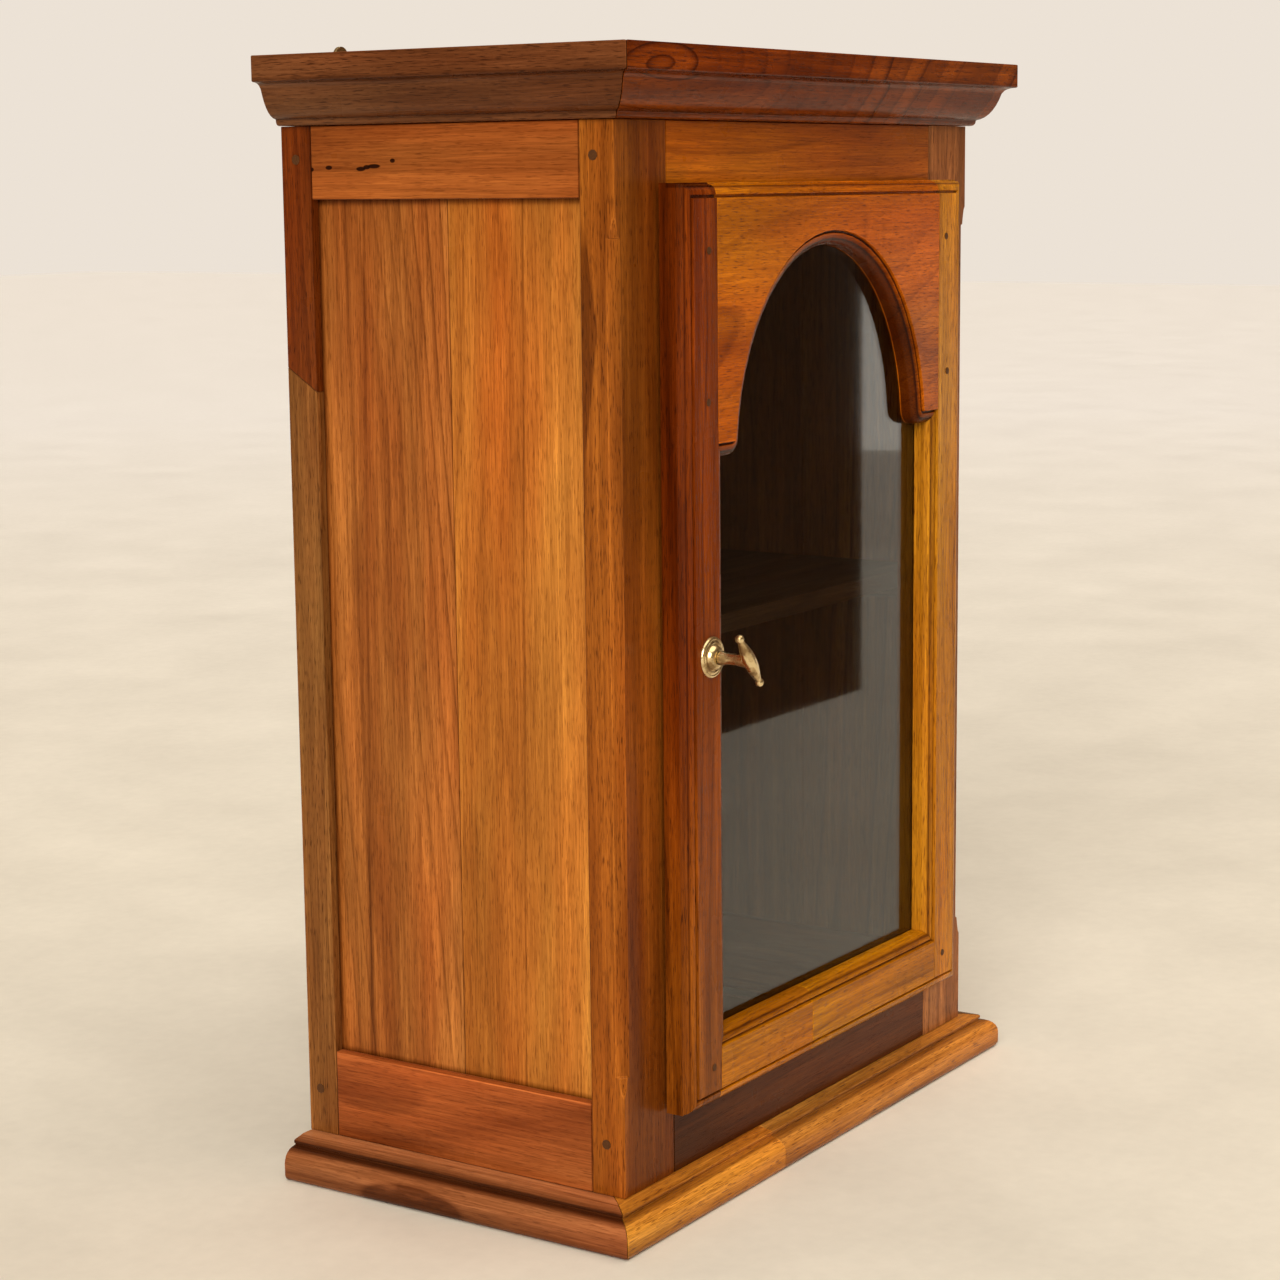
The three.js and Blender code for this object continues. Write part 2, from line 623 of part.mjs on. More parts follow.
function addDoorFrame() {
  const depth = [doorFaceY - 1, doorBackY + 1];
  const rebateY = [doorBackY - REBATE_DEPTH, doorBackY + 1];
  const rebate = block([-rebateX, rebateX], rebateY, [rebateBottom, REBATE_TOP]);
  const door = doorSlab().subtract(openingCutter()).subtract(rebate);
  const tenonX = [-DOOR_HALF_WIDTH + DOOR_TENON_END, DOOR_HALF_WIDTH - DOOR_TENON_END];
  const tenonY = [doorBackY - DOOR_TENON_FACE, doorBackY - DOOR_TENON_BACK];
  const topTenonLimits = [SHOULDER_Z + TOP_TENON_LOWER_SHOULDER, DOOR_TOP - TOP_TENON_UPPER_SHOULDER];
  const topTenon = [tenonX, tenonY, topTenonLimits];
  const bottomTenon = [tenonX, tenonY, [DOOR_BOTTOM + TENON_SHOULDER, OPENING_BOTTOM]];
  const middleY = doorBackY - DOOR_THICKNESS / 2;
  const bore = roundBar('y', SPINDLE_BORE_RADIUS, KNOB_X, middleY, KNOB_Z, DOOR_THICKNESS + 2);
  const leftShare = frontPrism(stileOutline(-GAP / 2), ...depth);
  const stile = door.intersect(leftShare).subtract(roomFor(...topTenon)).subtract(roomFor(...bottomTenon));
  add('door_left_stile', 'walnut', stile.subtract(bore));
  add('door_right_stile', 'walnut', stile.mirror([1, 0, 0]).subtract(doorLeafRooms()));

  const taken = frontPrism(stileOutline(GAP / 2), ...depth);
  const rails = door.subtract(taken).subtract(taken.mirror([1, 0, 0]));
  const wide = [-DOOR_HALF_WIDTH, DOOR_HALF_WIDTH];
  const topRail = rails.intersect(block(wide, depth, [SHOULDER_Z - 20, DOOR_TOP + 1]));
  const bottomRail = rails.intersect(block(wide, depth, [DOOR_BOTTOM - 1, sightBottom + 1]));
  const gapAtTop = openingCutter().add(rebate);
  const tenons = block(...topTenon).subtract(gapAtTop);
  add('door_top_rail', 'walnut', topRail.add(tenons));
  const joined = bottomRail.add(block(...bottomTenon).subtract(rebate));
  const railZ = [DOOR_BOTTOM - 1, SHOULDER_Z];
  const left = joined.intersect(block([-DOOR_HALF_WIDTH, DOOR_RAIL_JOIN_X - GAP / 2], depth, railZ));
  const right = joined.intersect(block([DOOR_RAIL_JOIN_X + GAP / 2, DOOR_HALF_WIDTH], depth, railZ));
  add('door_bottom_rail_left', 'darkWalnut', left);
  add('door_bottom_rail_right', 'walnut', right);
}

function addGlazing() {
  const paneX = rebateX - GAP;
  const paneZ = [rebateBottom + GAP, REBATE_TOP - GAP];
  const paneFaceY = doorBackY - REBATE_DEPTH + GAP;
  const paneBackY = paneFaceY + GLASS_THICKNESS;
  add('glass_pane', 'glass', block([-paneX, paneX], [paneFaceY, paneBackY], paneZ));
  const beadY = [paneBackY + GAP, paneBackY + GAP + BEAD_THICKNESS];
  const innerX = sightX + GAP;
  const [low, high] = paneZ;
  const sideBead = block([-paneX, -innerX], beadY, paneZ);
  add('glazing_bead_left', 'walnut', sideBead);
  add('glazing_bead_right', 'walnut', sideBead.mirror([1, 0, 0]));
  const betweenX = [-innerX + GAP, innerX - GAP];
  const beadWidth = paneX - innerX;
  add('glazing_bead_bottom', 'walnut', block(betweenX, beadY, [low, low + beadWidth]));
  add('glazing_bead_top', 'walnut', block(betweenX, beadY, [high - beadWidth, high]));
}

// ---------------------------------------------------------------------------------------------------
// Hinges: butt hinges with three knuckles, leaves let in behind the door and into the right-hand post

const frameLeafY = [frontY + SINK, frontY + SINK + LEAF_THICKNESS];
const doorLeafY = [doorBackY - SINK - LEAF_THICKNESS, doorBackY - SINK];
const frameLeafX = [HINGE_X - FRAME_LEAF_REACH, HINGE_X + LEAF_OVERRUN];
const doorLeafX = [HINGE_X - DOOR_LEAF_REACH, HINGE_X - KNUCKLE_RADIUS];

function leafZ(centre) {
  return [centre - HINGE_HEIGHT / 2, centre + HINGE_HEIGHT / 2];
}

function frameLeafRooms() {
  const [low, high] = [frontY - 1, frameLeafY[1] + GAP];
  const rooms = Object.values(HINGE_CENTRES).map((centre) => {
    const [bottom, top] = leafZ(centre);
    return block([frameLeafX[0] - GAP, frameLeafX[1] + GAP], [low, high], [bottom - GAP, top + GAP]);
  });
  return rooms[0].add(rooms[1]);
}

function doorLeafRooms() {
  const rooms = Object.values(HINGE_CENTRES).map((centre) => {
    const [bottom, top] = leafZ(centre);
    const limitsY = [doorLeafY[0] - GAP, doorBackY + 1];
    return block([doorLeafX[0] - GAP, DOOR_HALF_WIDTH + 1], limitsY, [bottom - GAP, top + GAP]);
  });
  return rooms[0].add(rooms[1]);
}

/** A knuckle, with the strip that ties it to its leaf. */
function knuckle(z, length, tieX, tieY) {
  const barrel = roundBar('z', KNUCKLE_RADIUS, HINGE_X, HINGE_Y, z, length, 20);
  return barrel.add(block(tieX, tieY, [z - length / 2, z + length / 2]));
}

function addHinges() {
  const pitch = HINGE_HEIGHT / 3;
  const length = pitch - GAP;
  for (const [name, centre] of Object.entries(HINGE_CENTRES)) {
    const bore = roundBar('z', HINGE_PIN_RADIUS + GAP, HINGE_X, HINGE_Y, centre, HINGE_HEIGHT + 2, 12);
    const tieX = [HINGE_X - KNUCKLE_RADIUS + GAP, frameLeafX[1]];
    const tieY = [HINGE_Y + HINGE_PIN_RADIUS + GAP, frameLeafY[1]];
    const frameLeaf = block(frameLeafX, frameLeafY, leafZ(centre))
      .add(knuckle(centre - pitch, length, tieX, tieY))
      .add(knuckle(centre + pitch, length, tieX, tieY))
      .subtract(bore);
    const doorLeaf = block(doorLeafX, doorLeafY, leafZ(centre))
      .add(knuckle(centre, length, [doorLeafX[1] - 1, HINGE_X], doorLeafY))
      .subtract(bore);
    const pinLength = HINGE_HEIGHT + 2 * PIN_OVERRUN;
    const pinHeadZ = centre + HINGE_HEIGHT / 2 + GAP + PIN_HEAD_LENGTH / 2;
    const pin = roundBar('z', HINGE_PIN_RADIUS, HINGE_X, HINGE_Y, centre, pinLength, 12)
      .add(roundBar('z', PIN_HEAD_RADIUS, HINGE_X, HINGE_Y, pinHeadZ, PIN_HEAD_LENGTH, 20));
    add(`hinge_${name}_frame_leaf`, 'brass', frameLeaf);
    add(`hinge_${name}_door_leaf`, 'brass', doorLeaf);
    add(`hinge_${name}_pin`, 'brass', pin);
  }
}

// ---------------------------------------------------------------------------------------------------
// Knob, latch and hanging plates

/** The round plate on the door's face: a rim, a hollow and a raised collar round the stem. */
function addRosette() {
  const profile = [
    [4, 0.1], [12.5, 0.1], [12.5, 1], [11.9, 1.9], [11, 2.1], [10.4, 1.8], [9.8, 2.4], [8.8, 2.6],
    [7.9, 2.2], [7.4, 3.4], [6.6, 4.6], [5.4, 5.3], [4, 5.5], [4, 0.1],
  ];
  add('knob_rosette', 'brass', turned(profile, KNOB_X, doorFaceY, KNOB_Z));
}

/** The stem and its cross bar, which ends in two small balls. */
function addKnob() {
  const stem = [
    [0, 0.4], [3.6, 0.4], [3.6, 6], [4.3, 6.8], [4.4, 8.2], [3.8, 9.6], [3.4, 13], [3.5, 18], [4.2, 23],
    [4, KNOB_REACH], [0, KNOB_REACH],
  ];
  const half = BALL_SPACING / 2;
  const bar = [
    [0, -half], [1.7, -half], [2, -half + 3], [2.9, -11], [3.9, -6], [4.3, -1.5], [4.3, 1.5], [3.9, 6],
    [2.9, 11], [2, half - 3], [1.7, half], [0, half],
  ];
  const cross = new THREE.Group();
  const barProfile = bar.map(([radius, along]) => new THREE.Vector2(radius, along));
  const barGeometry = new THREE.LatheGeometry(barProfile, 20);
  const balls = [-half, half].map((along) => (
    new THREE.SphereGeometry(BALL_RADIUS, 16, 10).translate(0, along, 0)
  ));
  cross.rotation.set(0, -KNOB_TILT, 0);
  cross.position.set(KNOB_X, doorFaceY - KNOB_REACH, KNOB_Z);
  cross.updateMatrix();
  let knob = turned(stem, KNOB_X, doorFaceY, KNOB_Z, 20);
  for (const geometry of [barGeometry, ...balls]) {
    geometry.rotateX(Math.PI / 2);
    geometry.applyMatrix4(cross.matrix);
    knob = knob.add(solidOf(geometry));
  }
  add('knob', 'brass', knob);
}

function addLatch() {
  const half = SPINDLE_SIZE / 2;
  const spindleX = [KNOB_X - half, KNOB_X + half];
  const spindleZ = [KNOB_Z - half, KNOB_Z + half];
  const spindleY = [doorFaceY - SINK, LATCH_Y + SPINDLE_END];
  add('knob_spindle', 'brass', block(spindleX, spindleY, spindleZ));
  const tongueY = [LATCH_Y - LATCH_THICKNESS / 2, LATCH_Y + LATCH_THICKNESS / 2];
  const tongueZ = [KNOB_Z - LATCH_HEEL, KNOB_Z + LATCH_REACH];
  const tongue = block([KNOB_X - LATCH_WIDTH / 2, KNOB_X + LATCH_WIDTH / 2], tongueY, tongueZ);
  add('latch_tongue', 'brass', tongue.subtract(roomFor(spindleX, spindleY, spindleZ)));
}

/** A plate screwed to the back, with a pierced round head that rises above the cornice. */
function addHangers() {
  const headCentre = HEIGHT + HANGER_RISE;
  const foot = HEIGHT - HANGER_DROP;
  const outline = new THREE.Shape();
  outline.moveTo(-HANGER_RADIUS, foot);
  outline.lineTo(HANGER_RADIUS, foot);
  outline.lineTo(HANGER_RADIUS, headCentre);
  outline.absarc(0, headCentre, HANGER_RADIUS, 0, Math.PI, false);
  outline.lineTo(-HANGER_RADIUS, foot);
  const hole = new THREE.Path();
  hole.absarc(0, HEIGHT + HANGER_HOLE_RISE, HANGER_HOLE_RADIUS, 0, Math.PI * 2, true);
  outline.holes.push(hole);
  const settings = { depth: HANGER_THICKNESS, bevelEnabled: false, curveSegments: 12 };
  for (const [side, x] of [['left', -HANGER_X], ['right', HANGER_X]]) {
    const geometry = new THREE.ExtrudeGeometry(outline, settings);
    geometry.rotateX(Math.PI / 2);
    geometry.translate(x, backY + GAP + HANGER_THICKNESS, 0);
    add(`hanging_plate_${side}`, 'brass', solidOf(geometry));
  }
}

addBase();
addPosts();
addRails();
addPanels();
addInterior();
addCornice();
addHangers();
addDoorFrame();
addGlazing();
addHinges();
addRosette();
addKnob();
addLatch();

export default displayCase;
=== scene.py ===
import json
import math

import bmesh
import bpy
from mathutils import Matrix, Vector

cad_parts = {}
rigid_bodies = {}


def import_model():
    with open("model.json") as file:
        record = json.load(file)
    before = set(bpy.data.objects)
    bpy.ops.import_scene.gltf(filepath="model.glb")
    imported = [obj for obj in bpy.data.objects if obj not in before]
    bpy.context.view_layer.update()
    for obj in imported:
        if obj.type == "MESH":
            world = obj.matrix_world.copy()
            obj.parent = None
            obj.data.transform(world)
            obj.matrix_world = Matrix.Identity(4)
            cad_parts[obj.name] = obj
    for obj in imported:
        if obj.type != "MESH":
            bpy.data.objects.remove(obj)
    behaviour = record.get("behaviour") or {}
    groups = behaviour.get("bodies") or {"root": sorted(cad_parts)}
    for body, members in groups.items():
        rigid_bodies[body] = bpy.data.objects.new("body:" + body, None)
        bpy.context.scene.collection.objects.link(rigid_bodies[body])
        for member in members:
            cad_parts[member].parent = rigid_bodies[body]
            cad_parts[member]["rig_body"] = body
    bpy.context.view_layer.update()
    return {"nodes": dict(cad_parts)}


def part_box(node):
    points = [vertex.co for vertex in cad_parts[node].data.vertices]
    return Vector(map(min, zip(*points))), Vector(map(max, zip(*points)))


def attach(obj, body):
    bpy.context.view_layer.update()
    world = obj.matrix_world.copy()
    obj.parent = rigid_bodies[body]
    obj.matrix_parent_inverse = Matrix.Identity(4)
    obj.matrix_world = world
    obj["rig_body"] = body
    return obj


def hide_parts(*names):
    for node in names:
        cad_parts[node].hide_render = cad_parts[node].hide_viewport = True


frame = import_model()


# ---------------------------------------------------------------------------------------------------
# The room. The camera stands low on the left of the door, a long way back, turned a touch on its axis.
# Two broad soft suns and a small window lamp light it, over a pale floor and beside a dark screen.

def link(thing):
    """Puts an object in the scene and gives it back."""
    bpy.context.scene.collection.objects.link(thing)
    return thing


def mesh_object(name, points, faces):
    mesh = bpy.data.meshes.new(name)
    mesh.from_pydata(points, [], faces)
    return link(bpy.data.objects.new(name, mesh))


AZIMUTH = math.radians(-56.73)
ELEVATION = math.radians(9.27)
ROLL = math.radians(-0.592)
CAMERA_PLACE = (-1.5496, -1.009, 0.6252)
across = Vector((math.cos(AZIMUTH), math.sin(AZIMUTH), 0))
level_back = Vector((math.sin(AZIMUTH), -math.cos(AZIMUTH), 0))
back = level_back * math.cos(ELEVATION) + Vector((0, 0, math.sin(ELEVATION)))
upright = back.cross(across)
rolled_across = across * math.cos(ROLL) + upright * math.sin(ROLL)
rolled_upright = upright * math.cos(ROLL) - across * math.sin(ROLL)
camera = link(bpy.data.objects.new("camera", bpy.data.cameras.new("camera")))
camera.data.lens = 79.08
camera.data.sensor_width = 36
turn = Matrix((rolled_across, rolled_upright, back)).transposed().to_4x4()
camera.matrix_world = Matrix.Translation(CAMERA_PLACE) @ turn
bpy.context.scene.camera = camera
bpy.context.scene.view_settings.view_transform = "Standard"


def lamp(name, kind, place, target, strength, **shape):
    """A lamp at place that faces target, a little warm, that the camera itself doesn't see."""
    data = bpy.data.lights.new(name, kind)
    data.energy = strength
    data.color = (1, 0.93, 0.8)
    for key, value in shape.items():
        setattr(data, key, value)
    light = link(bpy.data.objects.new(name, data))
    light.location = place
    light.rotation_euler = (Vector(target) - Vector(place)).to_track_quat("-Z", "Y").to_euler()
    light.visible_camera = False
    return light


lamp("key", "SUN", (-2.9, -1.35, 2.0), (0, 0, 0.35), 2.45, angle=math.radians(38))
lamp("ceiling", "SUN", (0.3, -0.6, 3.0), (0, 0, 0), 1.7, angle=math.radians(70))
window_strip = lamp("window_strip", "AREA", (2.9, -1.5, 0.36), (0.1, -0.12, 0.4), 0.5, size=0.42)
window_strip.data.color = (1, 0.95, 0.85)
window_strip.visible_diffuse = False

# What the lamps leave is a dim warm room. The camera sees a pale wall in its place.
world = bpy.data.worlds.new("room")
bpy.context.scene.world = world
world.use_nodes = True
warm_room = world.node_tree.nodes["Background"]
warm_room.inputs["Color"].default_value = (0.92, 0.66, 0.42, 1)
warm_room.inputs["Strength"].default_value = 0.24
pale_wall = world.node_tree.nodes.new("ShaderNodeBackground")
pale_wall.inputs["Color"].default_value = (0.84, 0.76, 0.67, 1)
ray = world.node_tree.nodes.new("ShaderNodeLightPath")
choice = world.node_tree.nodes.new("ShaderNodeMixShader")
world.node_tree.links.new(ray.outputs["Is Camera Ray"], choice.inputs["Fac"])
world.node_tree.links.new(warm_room.outputs["Background"], choice.inputs[1])
world.node_tree.links.new(pale_wall.outputs["Background"], choice.inputs[2])
world.node_tree.links.new(choice.outputs["Shader"], world.node_tree.nodes["World Output"].inputs["Surface"])


class Value:
    """A number on its way through a material: arithmetic on it adds Math nodes."""

    def __init__(self, paint, socket):
        self.paint = paint
        self.socket = socket

    def __add__(self, other):
        return self.paint.node("Math", [self, other], operation="ADD")

    def __sub__(self, other):
        return self.paint.node("Math", [self, other], operation="SUBTRACT")

    def __rsub__(self, other):
        return self.paint.node("Math", [other, self], operation="SUBTRACT")

    def __mul__(self, other):
        return self.paint.node("Math", [self, other], operation="MULTIPLY")

    def __truediv__(self, other):
        return self.paint.node("Math", [self, other], operation="DIVIDE")

    def __pow__(self, other):
        return self.paint.node("Math", [self, other], operation="POWER")

    def __rpow__(self, other):
        return self.paint.node("Math", [other, self], operation="POWER")

    def __abs__(self):
        return self.paint.node("Math", [self], operation="ABSOLUTE")

    def clipped(self):
        return self.paint.node("Clamp", [self])

    __radd__ = __add__


class Paint:
    """A material being mixed: its node tree, and the one method that adds a node to it."""

    def __init__(self, name):
        self.material = bpy.data.materials.new(name)
        self.material.use_nodes = True
        self.tree = self.material.node_tree
        self.shader = self.tree.nodes["Principled BSDF"]
        x, y, z = self.node("SeparateXYZ", [self.node("TexCoord", [], out="Object")], out=(0, 1, 2))
        self.x, self.y, self.z = x * 1000, y * 1000, z * 1000

    def node(self, kind, sockets, out=0, **settings):
        """Adds one node: its settings first, then a value or a link for each socket."""
        made = self.tree.nodes.new("ShaderNode" + kind)
        for key, setting in settings.items():
            setattr(made, key, setting)
        pairs = sockets.items() if isinstance(sockets, dict) else enumerate(sockets)
        for key, given in pairs:
            if isinstance(given, Value):
                self.tree.links.new(given.socket, made.inputs[key])
            else:
                made.inputs[key].default_value = given
        if isinstance(out, tuple):
            return [Value(self, made.outputs[key]) for key in out]
        return Value(self, made.outputs[out])

    def noise(self, place, detail=2, roughness=0.5):
        """Noise from 0 to 1 at a place given as three values."""
        vector = self.node("CombineXYZ", list(place))
        return self.node("TexNoise", {"Vector": vector, "Scale": 1, "Detail": detail, "Roughness": roughness},
                         out="Fac")

    def near(self, value, centre, reach):
        """1 where value is at centre, falling to 0 at reach to either side."""
        return (1 - abs(value - centre) / reach).clipped()

    def attribute(self, name):
        return self.node("Attribute", [], out="Fac", attribute_name=name)

    def feed(self, **sockets):
        """Gives the main shader its values, by socket name with underscores for spaces."""
        for key, given in sockets.items():
            socket = self.shader.inputs[key.replace("_", " ")]
            if isinstance(given, Value):
                self.tree.links.new(given.socket, socket)
            else:
                socket.default_value = given


# Concrete: pale grey-beige, lightly trowelled, and not part of the object.
FLOOR_REACH = 14
floor_corners = [(-FLOOR_REACH, -FLOOR_REACH, 0), (FLOOR_REACH, -FLOOR_REACH, 0),
                 (FLOOR_REACH, FLOOR_REACH, 0), (-FLOOR_REACH, FLOOR_REACH, 0)]
floor = mesh_object("floor", floor_corners, [(0, 1, 2, 3)])
concrete = Paint("pale concrete")
cloudy = concrete.noise((concrete.x * 0.006, concrete.y * 0.006, 0.3), 5, 0.6)
pitted = concrete.noise((concrete.x * 0.09, concrete.y * 0.09, 0.7), 3, 0.6)
distance = (concrete.x * concrete.x + concrete.y * concrete.y) ** 0.5
far = ((distance - 900) / 5000).clipped()
lightness = 0.97 + (cloudy - 0.5) * (0.24 - far * 0.22) + (pitted - 0.5) * 0.1 + far * 0.1
concrete.feed(
    Base_Color=concrete.node("CombineColor", [
        lightness * 0.83, lightness * (0.8 + far * 0.03), lightness * (0.74 + far * 0.12)]),
    Roughness=0.55 + (cloudy - 0.5) * 0.3,
)
floor.data.materials.append(concrete.material)

# A screen of dark cloth, hidden from the camera, that the door's glass and the polish mirror.
SCREEN_X = (0.55, 1.47)
SCREEN_Y = -0.9
SCREEN_HEIGHT = 1.5
screen_corners = [(SCREEN_X[0], SCREEN_Y, 0), (SCREEN_X[1], SCREEN_Y, 0),
                  (SCREEN_X[1], SCREEN_Y, SCREEN_HEIGHT), (SCREEN_X[0], SCREEN_Y, SCREEN_HEIGHT)]
screen = mesh_object("dark_screen", screen_corners, [(0, 1, 2, 3)])
cloth = Paint("dark screen cloth")
folds = cloth.noise((cloth.x * 0.01, cloth.y * 0.01, cloth.z * 0.004))
cloth.feed(
    Base_Color=cloth.node("CombineColor", [0.1 + folds * 0.06, 0.06, 0.03]),
    Roughness=0.8,
)
screen.data.materials.append(cloth.material)
screen.visible_camera = False
screen.visible_diffuse = False
screen.visible_shadow = False


# ---------------------------------------------------------------------------------------------------
# Base moulding: two side strips and a front strip in two lengths, mitred at the corners and glued and
# pinned round the foot of the carcase. Walnut with a rounded foot, an ovolo and a sloping ledge.

class Wood(Paint):
    """Polished walnut: growth rings cut by the board's faces, streaks, fibres, open pores and a gloss.

    tone is the mean colour, grain the axis that the fibres run along, heart the place of the tree's
    centre from the board's own centre in millimetres across the grain, lean how far the grain runs off
    straight, and ring the width of a year's growth. figure, streak, broad and pore are the strengths of
    the rings, the narrow streaks, the broad clouds and the open pores, and swirl is how much rings wander.
    """

    def __init__(self, node, tone, grain="z", seed=1.0, heart=(40, 70), lean=(0.02, 0.0), ring=9,
                 figure=0.5, streak=0.9, broad=0.9, pore=0.6, swirl=26):
        super().__init__(node.replace("_", " ") + " walnut")
        low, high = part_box(node)
        centre = (low + high) * 500
        local = {"x": self.x - centre.x, "y": self.y - centre.y, "z": self.z - centre.z}
        order = {"x": "yzx", "y": "zxy", "z": "xyz"}[grain]
        a, b, along = (local[axis] for axis in order)
        self.tone = tone
        wander = self.noise((a * 0.009 + seed, b * 0.009, along * 0.0024), 2)
        drift = self.noise((a * 0.011, b * 0.011 + seed, along * 0.003 + 3.3), 1)
        to_heart = a - heart[0] - along * lean[0] + (wander - 0.5) * swirl
        from_heart = b - heart[1] - along * lean[1] + (drift - 0.5) * swirl
        radius = (to_heart * to_heart + from_heart * from_heart) ** 0.5
        years = radius / ring + seed * 7.31
        growth = self.node("Math", [years], operation="FRACT")
        year = self.node("Math", [years], operation="FLOOR")
        vigour = self.node("TexWhiteNoise", {"W": year}, out="Value", noise_dimensions="1D")
        late = (growth ** 7) * ((1 - growth) * 12).clipped() * (vigour * vigour * 1.6 + 0.1)
        streaks = self.noise((a * 0.14 + seed * 3, b * 0.14, along * 0.005), 5, 0.62)
        clouds = self.noise((a * 0.016, b * 0.016 + seed * 5, along * 0.0035), 2, 0.5)
        self.fibres = self.noise((a * 0.8 + seed, b * 0.8, along * 0.02), 3, 0.7)
        holes = self.noise((a * 1.9, b * 1.9 + seed, along * 0.12), 1, 0.5)
        self.pores = ((holes - 0.57) * 9).clipped()
        power = ((clouds - 0.5) * (broad * 2.2) + (streaks - 0.5) * (streak * 1.9)
                 + (vigour - 0.5) * (figure * 0.7) - late * (figure * 2.2) + (self.fibres - 0.5) * 2.04)
        self.value = (2 ** power) * (1 - self.pores * pore)
        self.turn = (self.noise((a * 0.03 + seed, b * 0.03, along * 0.0045), 2) - 0.5) * 0.6

    def darken(self, mask, amount):
        self.value = self.value * (1 - mask * amount)

    def lighten(self, mask, amount):
        self.value = self.value * (1 + mask * amount)

    def redden(self, mask, amount):
        """Turns the hue redder under a mask, or yellower where amount is below 0."""
        self.turn = self.turn - mask * amount

    def spot(self, centre, size):
        """1 inside a soft oval on a side of the case, its centre and size given as (y, z)."""
        across = (self.y - centre[0]) / size[0]
        up = (self.z - centre[1]) / size[1]
        return ((1.3 - (across * across + up * up) ** 0.5) * 3.5).clipped()

    def polished(self, gloss=0.3, arris_wear_and_highlight=0.35):
        """Finishes the mix and gives back the material.

        The last argument is how much paler its arrises are, rubbed and with a painted highlight, or darker
        where it is below 0.
        """
        rub = self.noise((self.x * 0.03, self.y * 0.03, self.z * 0.03), 2)
        # Arrises paler with rubbing and a painted highlight, or darker in the joints where the last argument is
        # below 0.
        value = self.value * (1 + self.attribute("arris") * (rub + 0.5) * arris_wear_and_highlight)
        red, green, blue = self.tone
        colour = self.node("CombineColor", [
            value * red,
            (value ** 1.2) * (1 + self.turn) * green,
            (value ** 1.35) * (1 + self.turn * 1.5) * blue,
        ])
        relief = self.pores * -0.6 + self.fibres * 0.5
        normal = self.node("Bump", {"Strength": 0.22, "Distance": 0.0003, "Height": relief}, out="Normal")
        self.feed(
            Base_Color=colour,
            Roughness=gloss + (rub - 0.5) * 0.16 + self.pores * 0.15,
            Normal=normal,
            Specular_IOR_Level=0.1,
            Specular_Tint=(1, 0.7, 0.38, 1),
            Coat_Weight=0.06,
            Coat_Roughness=0.1,
        )
        return self.material


def plain_mesh(piece):
    """The mesh that a piece's modifiers make, with nothing left live."""
    finished = bpy.data.meshes.new_from_object(piece.evaluated_get(bpy.context.evaluated_depsgraph_get()))
    finished.name = piece.name
    return finished


def eased_copy(node, ease, smooth=32):
    """A merged copy of a CAD node with its arrises rubbed round, which stands for the node.

    Edges under smooth degrees are part of a curve, and are shaded as one.
    """
    source = frame["nodes"][node]
    shape = bmesh.new()
    shape.from_mesh(source.data)
    bmesh.ops.remove_doubles(shape, verts=shape.verts, dist=2e-6)
    flat = math.radians(0.5)
    bmesh.ops.dissolve_limit(shape, angle_limit=flat, verts=shape.verts, edges=shape.edges)
    sharp = [edge for edge in shape.edges
             if len(edge.link_faces) == 2 and edge.calc_face_angle() > math.radians(smooth + 8)]
    rounded = bmesh.ops.bevel(shape, geom=sharp, offset=ease, offset_type="OFFSET", segments=2, profile=0.6,
                              affect="EDGES", clamp_overlap=True)
    strip = set(rounded["faces"])
    layer = shape.verts.layers.float.new("arris")
    for corner in shape.verts:
        corner[layer] = float(all(face in strip for face in corner.link_faces))
    mesh = bpy.data.meshes.new("polished_" + node)
    shape.to_mesh(mesh)
    shape.free()
    mesh.shade_smooth()
    mesh.set_sharp_from_angle(angle=math.radians(smooth))
    piece = link(bpy.data.objects.new("polished_" + node, mesh))
    weighted = piece.modifiers.new("flat faces stay flat", "WEIGHTED_NORMAL")
    weighted.keep_sharp = True
    piece.data = plain_mesh(piece)
    piece.modifiers.clear()
    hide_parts(node)
    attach(piece, frame["nodes"][node]["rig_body"])
    return piece


def timber(node, material, ease=0.0007):
    """A finished wooden piece made over a CAD node."""
    piece = eased_copy(node, ease)
    piece.data.materials.append(material)
    return piece


LEDGE_QUIRK = 22.0
LEDGE_FOOT = 23.6
# Painted shade darkens the base from this height down to the floor.
FLOOR_SHADE_TOP = 13
HIDDEN_BROWN = (0.2, 0.08, 0.02)


def foot_wax_and_shade(strip, wax=0.8):
    """Dark wax and painted shade in the quirk under the ledge, and painted shade that darkens the foot towards
    the floor.
    """
    # Dark wax and painted shade in the quirk under the ledge, as strong as the second argument.
    strip.darken((strip.near(strip.z, LEDGE_QUIRK, 3.4) * 2).clipped(), wax)
    # Painted shade, darker towards the floor.
    strip.darken(((FLOOR_SHADE_TOP - strip.z) * 0.1).clipped(), 0.42)
    return strip


side_foot = foot_wax_and_shade(Wood("base_left_moulding", (0.29, 0.093, 0.032), "y", 3.1, heart=(30, 10), ring=7,
                           streak=0.9, pore=0.35))
# A ragged dark knot half way along, low down, and painted light on the ledge's upper face.
knot = side_foot.spot((20, 4), (36, 10))
ragged = side_foot.noise((side_foot.x * 0.05, side_foot.y * 0.05, side_foot.z * 0.2), 3)
side_foot.darken((knot + (ragged - 0.5) * 1.6).clipped() * knot, 0.6)
